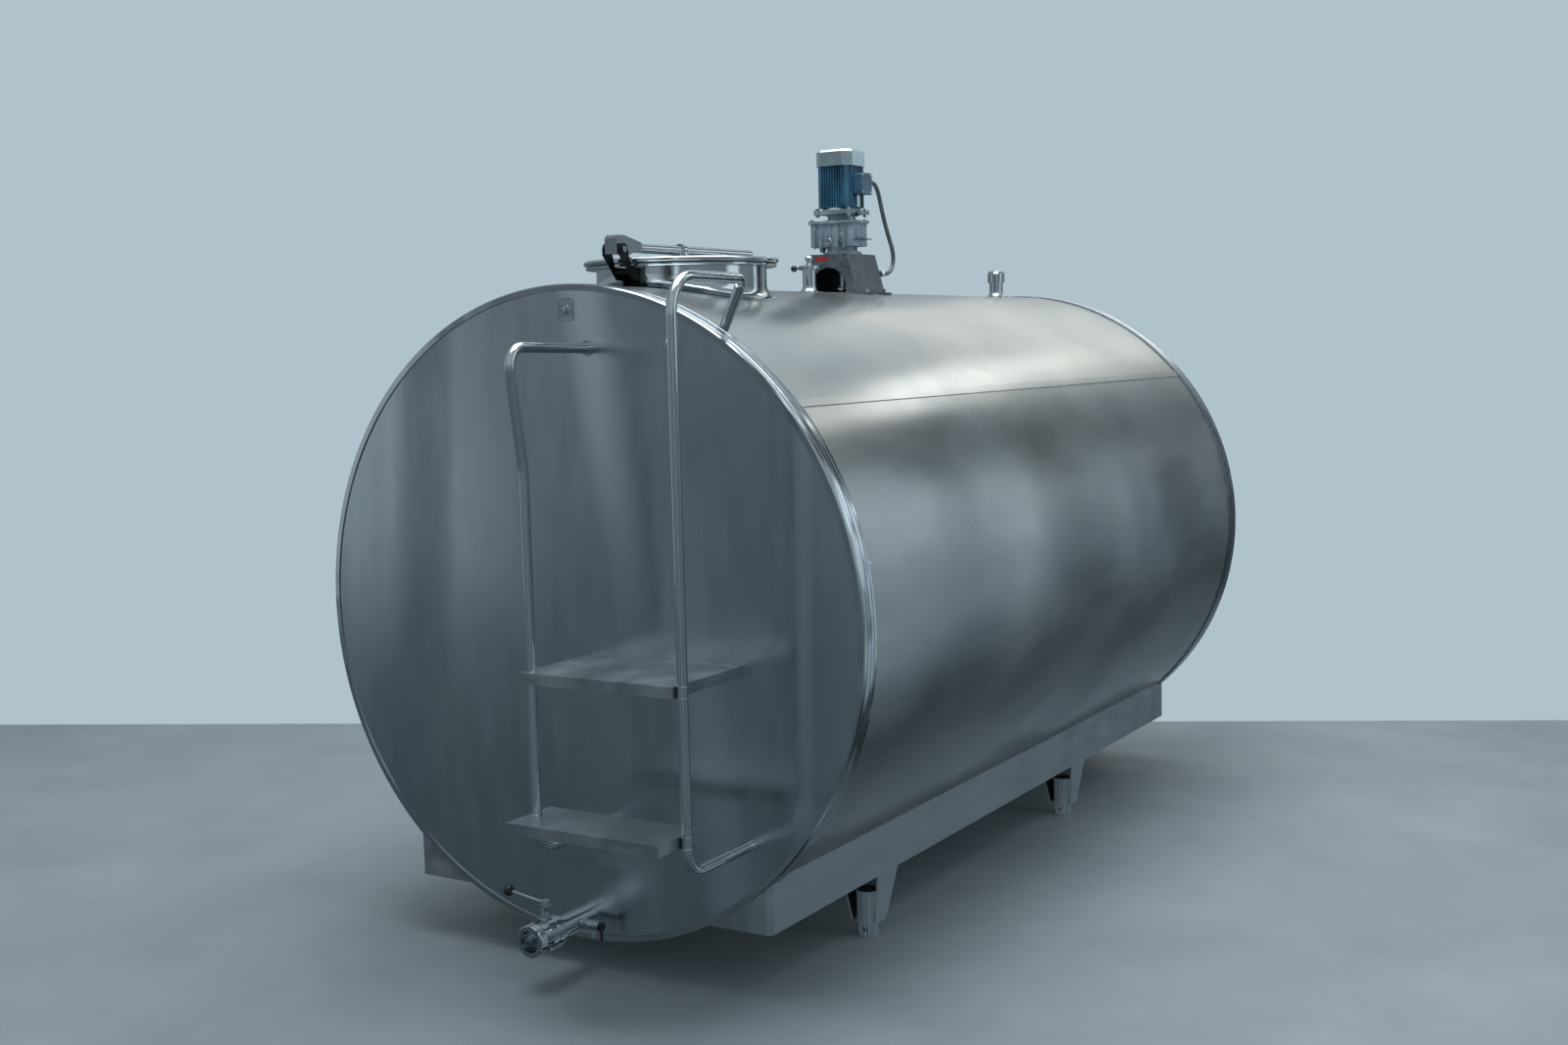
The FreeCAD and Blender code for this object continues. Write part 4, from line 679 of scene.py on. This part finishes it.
# %% Floor
floor_finish, tree, shader = new_finish("pale_sealed_floor", "#8D979C", 0.0, 0.6, IOR=1.5)
mottle = spread(tree, stretched_noise(tree, (700, 700, 700), detail=6.0, roughness=0.6), 0.0, 1.0)
tree.links.new(mix_colours(tree, mottle, "#848E94", "#959EA2"), shader.inputs["Base Color"])
wear = stretched_noise(tree, (260, 260, 260), detail=5.0)
tree.links.new(spread(tree, wear, 0.5, 0.68), shader.inputs["Roughness"])
builder = bmesh.new()
floor_degrees = 25.85
turn = Matrix.Rotation(math.radians(floor_degrees), 3, "Z")
half_width, near_edge, far_edge = 7, -9, 1.72
outline = [(-half_width, near_edge), (half_width, near_edge), (half_width, far_edge), (-half_width, far_edge)]
corners = [turn @ Vector((x, y, 0)) for x, y in outline]
builder.faces.new([builder.verts.new(corner) for corner in corners])
floor_mesh = bpy.data.meshes.new("floor")
builder.to_mesh(floor_mesh)
builder.free()
floor_mesh.materials.append(floor_finish)
floor = bpy.data.objects.new("floor", floor_mesh)
bpy.context.collection.objects.link(floor)
floor.visible_glossy = False
print("floor", round(floor.dimensions.x, 1), "m across")

# %% Room
world = bpy.data.worlds.new("studio")
bpy.context.scene.world = world
world.use_nodes = True
tree = world.node_tree
tree.nodes.clear()
place = add_node(tree, "TexCoord")
direction = add_node(tree, "SeparateXYZ", {"Vector": place.outputs["Generated"]})
height = spread(tree, direction.outputs["Z"], 0.0, 1.0, start=-1.0, end=1.0)
bands = add_node(tree, "ValToRGB", {"Fac": height})
stops = [(0.0, "#4A555B"), (0.3, "#6B7880"), (0.46, "#7F8D96")]
stops += [(0.5, "#8997A0"), (0.6, "#B4C1C8"), (1.0, "#C9D3D8")]
ramp = bands.color_ramp
ramp.elements[0].position, ramp.elements[0].color = stops[0][0], linear(stops[0][1])
ramp.elements[1].position, ramp.elements[1].color = stops[-1][0], linear(stops[-1][1])
for position, colour in stops[1:-1]:
    ramp.elements.new(position).color = linear(colour)
side = spread(tree, direction.outputs["X"], 0.0, 1.0, start=-1.0, end=1.0)
bays = add_node(tree, "ValToRGB", {"Fac": side})
bay_stops = [(-1.0, 0.6), (-0.75, 0.55), (-0.6, 0.42), (-0.48, 0.45), (-0.4, 0.8), (-0.15, 1.0), (0.05, 0.9)]
bay_stops += [(0.16, 0.55), (0.25, 0.1), (0.36, 0.12), (0.41, 0.9), (0.46, 3.2), (0.52, 0.7), (1.0, 0.7)]
ramp = bays.color_ramp
while len(ramp.elements) < len(bay_stops):
    ramp.elements.new(0.5)
for element, (across, strength) in zip(ramp.elements, bay_stops):
    element.position = (across + 1) / 2
    element.color = (strength, strength, strength, 1.0)
patches = add_node(tree, "TexNoise", {"Vector": place.outputs["Generated"], "Scale": 2.2, "Detail": 1.0})
depth = spread(tree, patches.outputs["Fac"], 0.85, 1.15, start=0.35, end=0.65)
amount = add_node(tree, "Math", {0: bays.outputs["Color"], 1: depth}, operation="MULTIPLY")
room = add_node(tree, "Background", {"Color": bands.outputs["Color"], "Strength": amount.outputs[0]})
wall = add_node(tree, "Background", {"Color": linear("#B0C3CD"), "Strength": 1.0})
ray = add_node(tree, "LightPath")
choice = add_node(
    tree, "MixShader", {0: ray.outputs["Is Camera Ray"], 1: room.outputs[0], 2: wall.outputs[0]}
)
add_node(tree, "OutputWorld", {"Surface": choice.outputs[0]})
print("room with", len(stops), "heights and", len(bay_stops), "places from side to side")

# %% [markdown]
# Large soft panels give the highlights. Two hang far behind the tank and above it: seen at a low angle the
# cladding mirrors that side of the room, so the wide one makes the broad glow along the top and the small
# one the bright streak at the lap seam. Others light the front head from the left and fill from the right.

# %% Soft panels


def soft_panel(name, at, aim, width, height, watts, tint):
    """A rectangular area light at one place, turned towards another."""
    light = bpy.data.lights.new(name, "AREA")
    light.shape = "RECTANGLE"
    light.size, light.size_y = width, height
    light.energy = watts
    light.color = linear(tint)[:3]
    panel = bpy.data.objects.new(name, light)
    bpy.context.collection.objects.link(panel)
    panel.location = at
    panel.rotation_euler = (Vector(aim) - Vector(at)).to_track_quat("-Z", "Y").to_euler()
    panel.visible_camera = False
    return panel


soft_panel("overhead", (0.3, -0.4, 5.5), (0, 0, 1), 4.5, 4.5, 250, "#F4FAFF")
soft_panel("rear_high", (-1.0, 9.0, 5.0), (0, 0, 1.4), 4.4, 2.2, 15, "#FFF1DC")
soft_panel("rear_window", (1.7, 8.6, 5.9), (0.5, 0, 1.4), 1.8, 0.7, 14, "#FFFAF2")
soft_panel("front_left", (-6.5, -6.0, 1.8), (0, -1.2, 1.0), 2.6, 4.0, 14, "#E4EFF6")
soft_panel("right_side", (7.0, 1.5, 3.2), (0.5, 0.2, 0.9), 2.5, 4.0, 28, "#E8F1F7")
bpy.context.scene.view_settings.view_transform = "Standard"
print("studio lit")
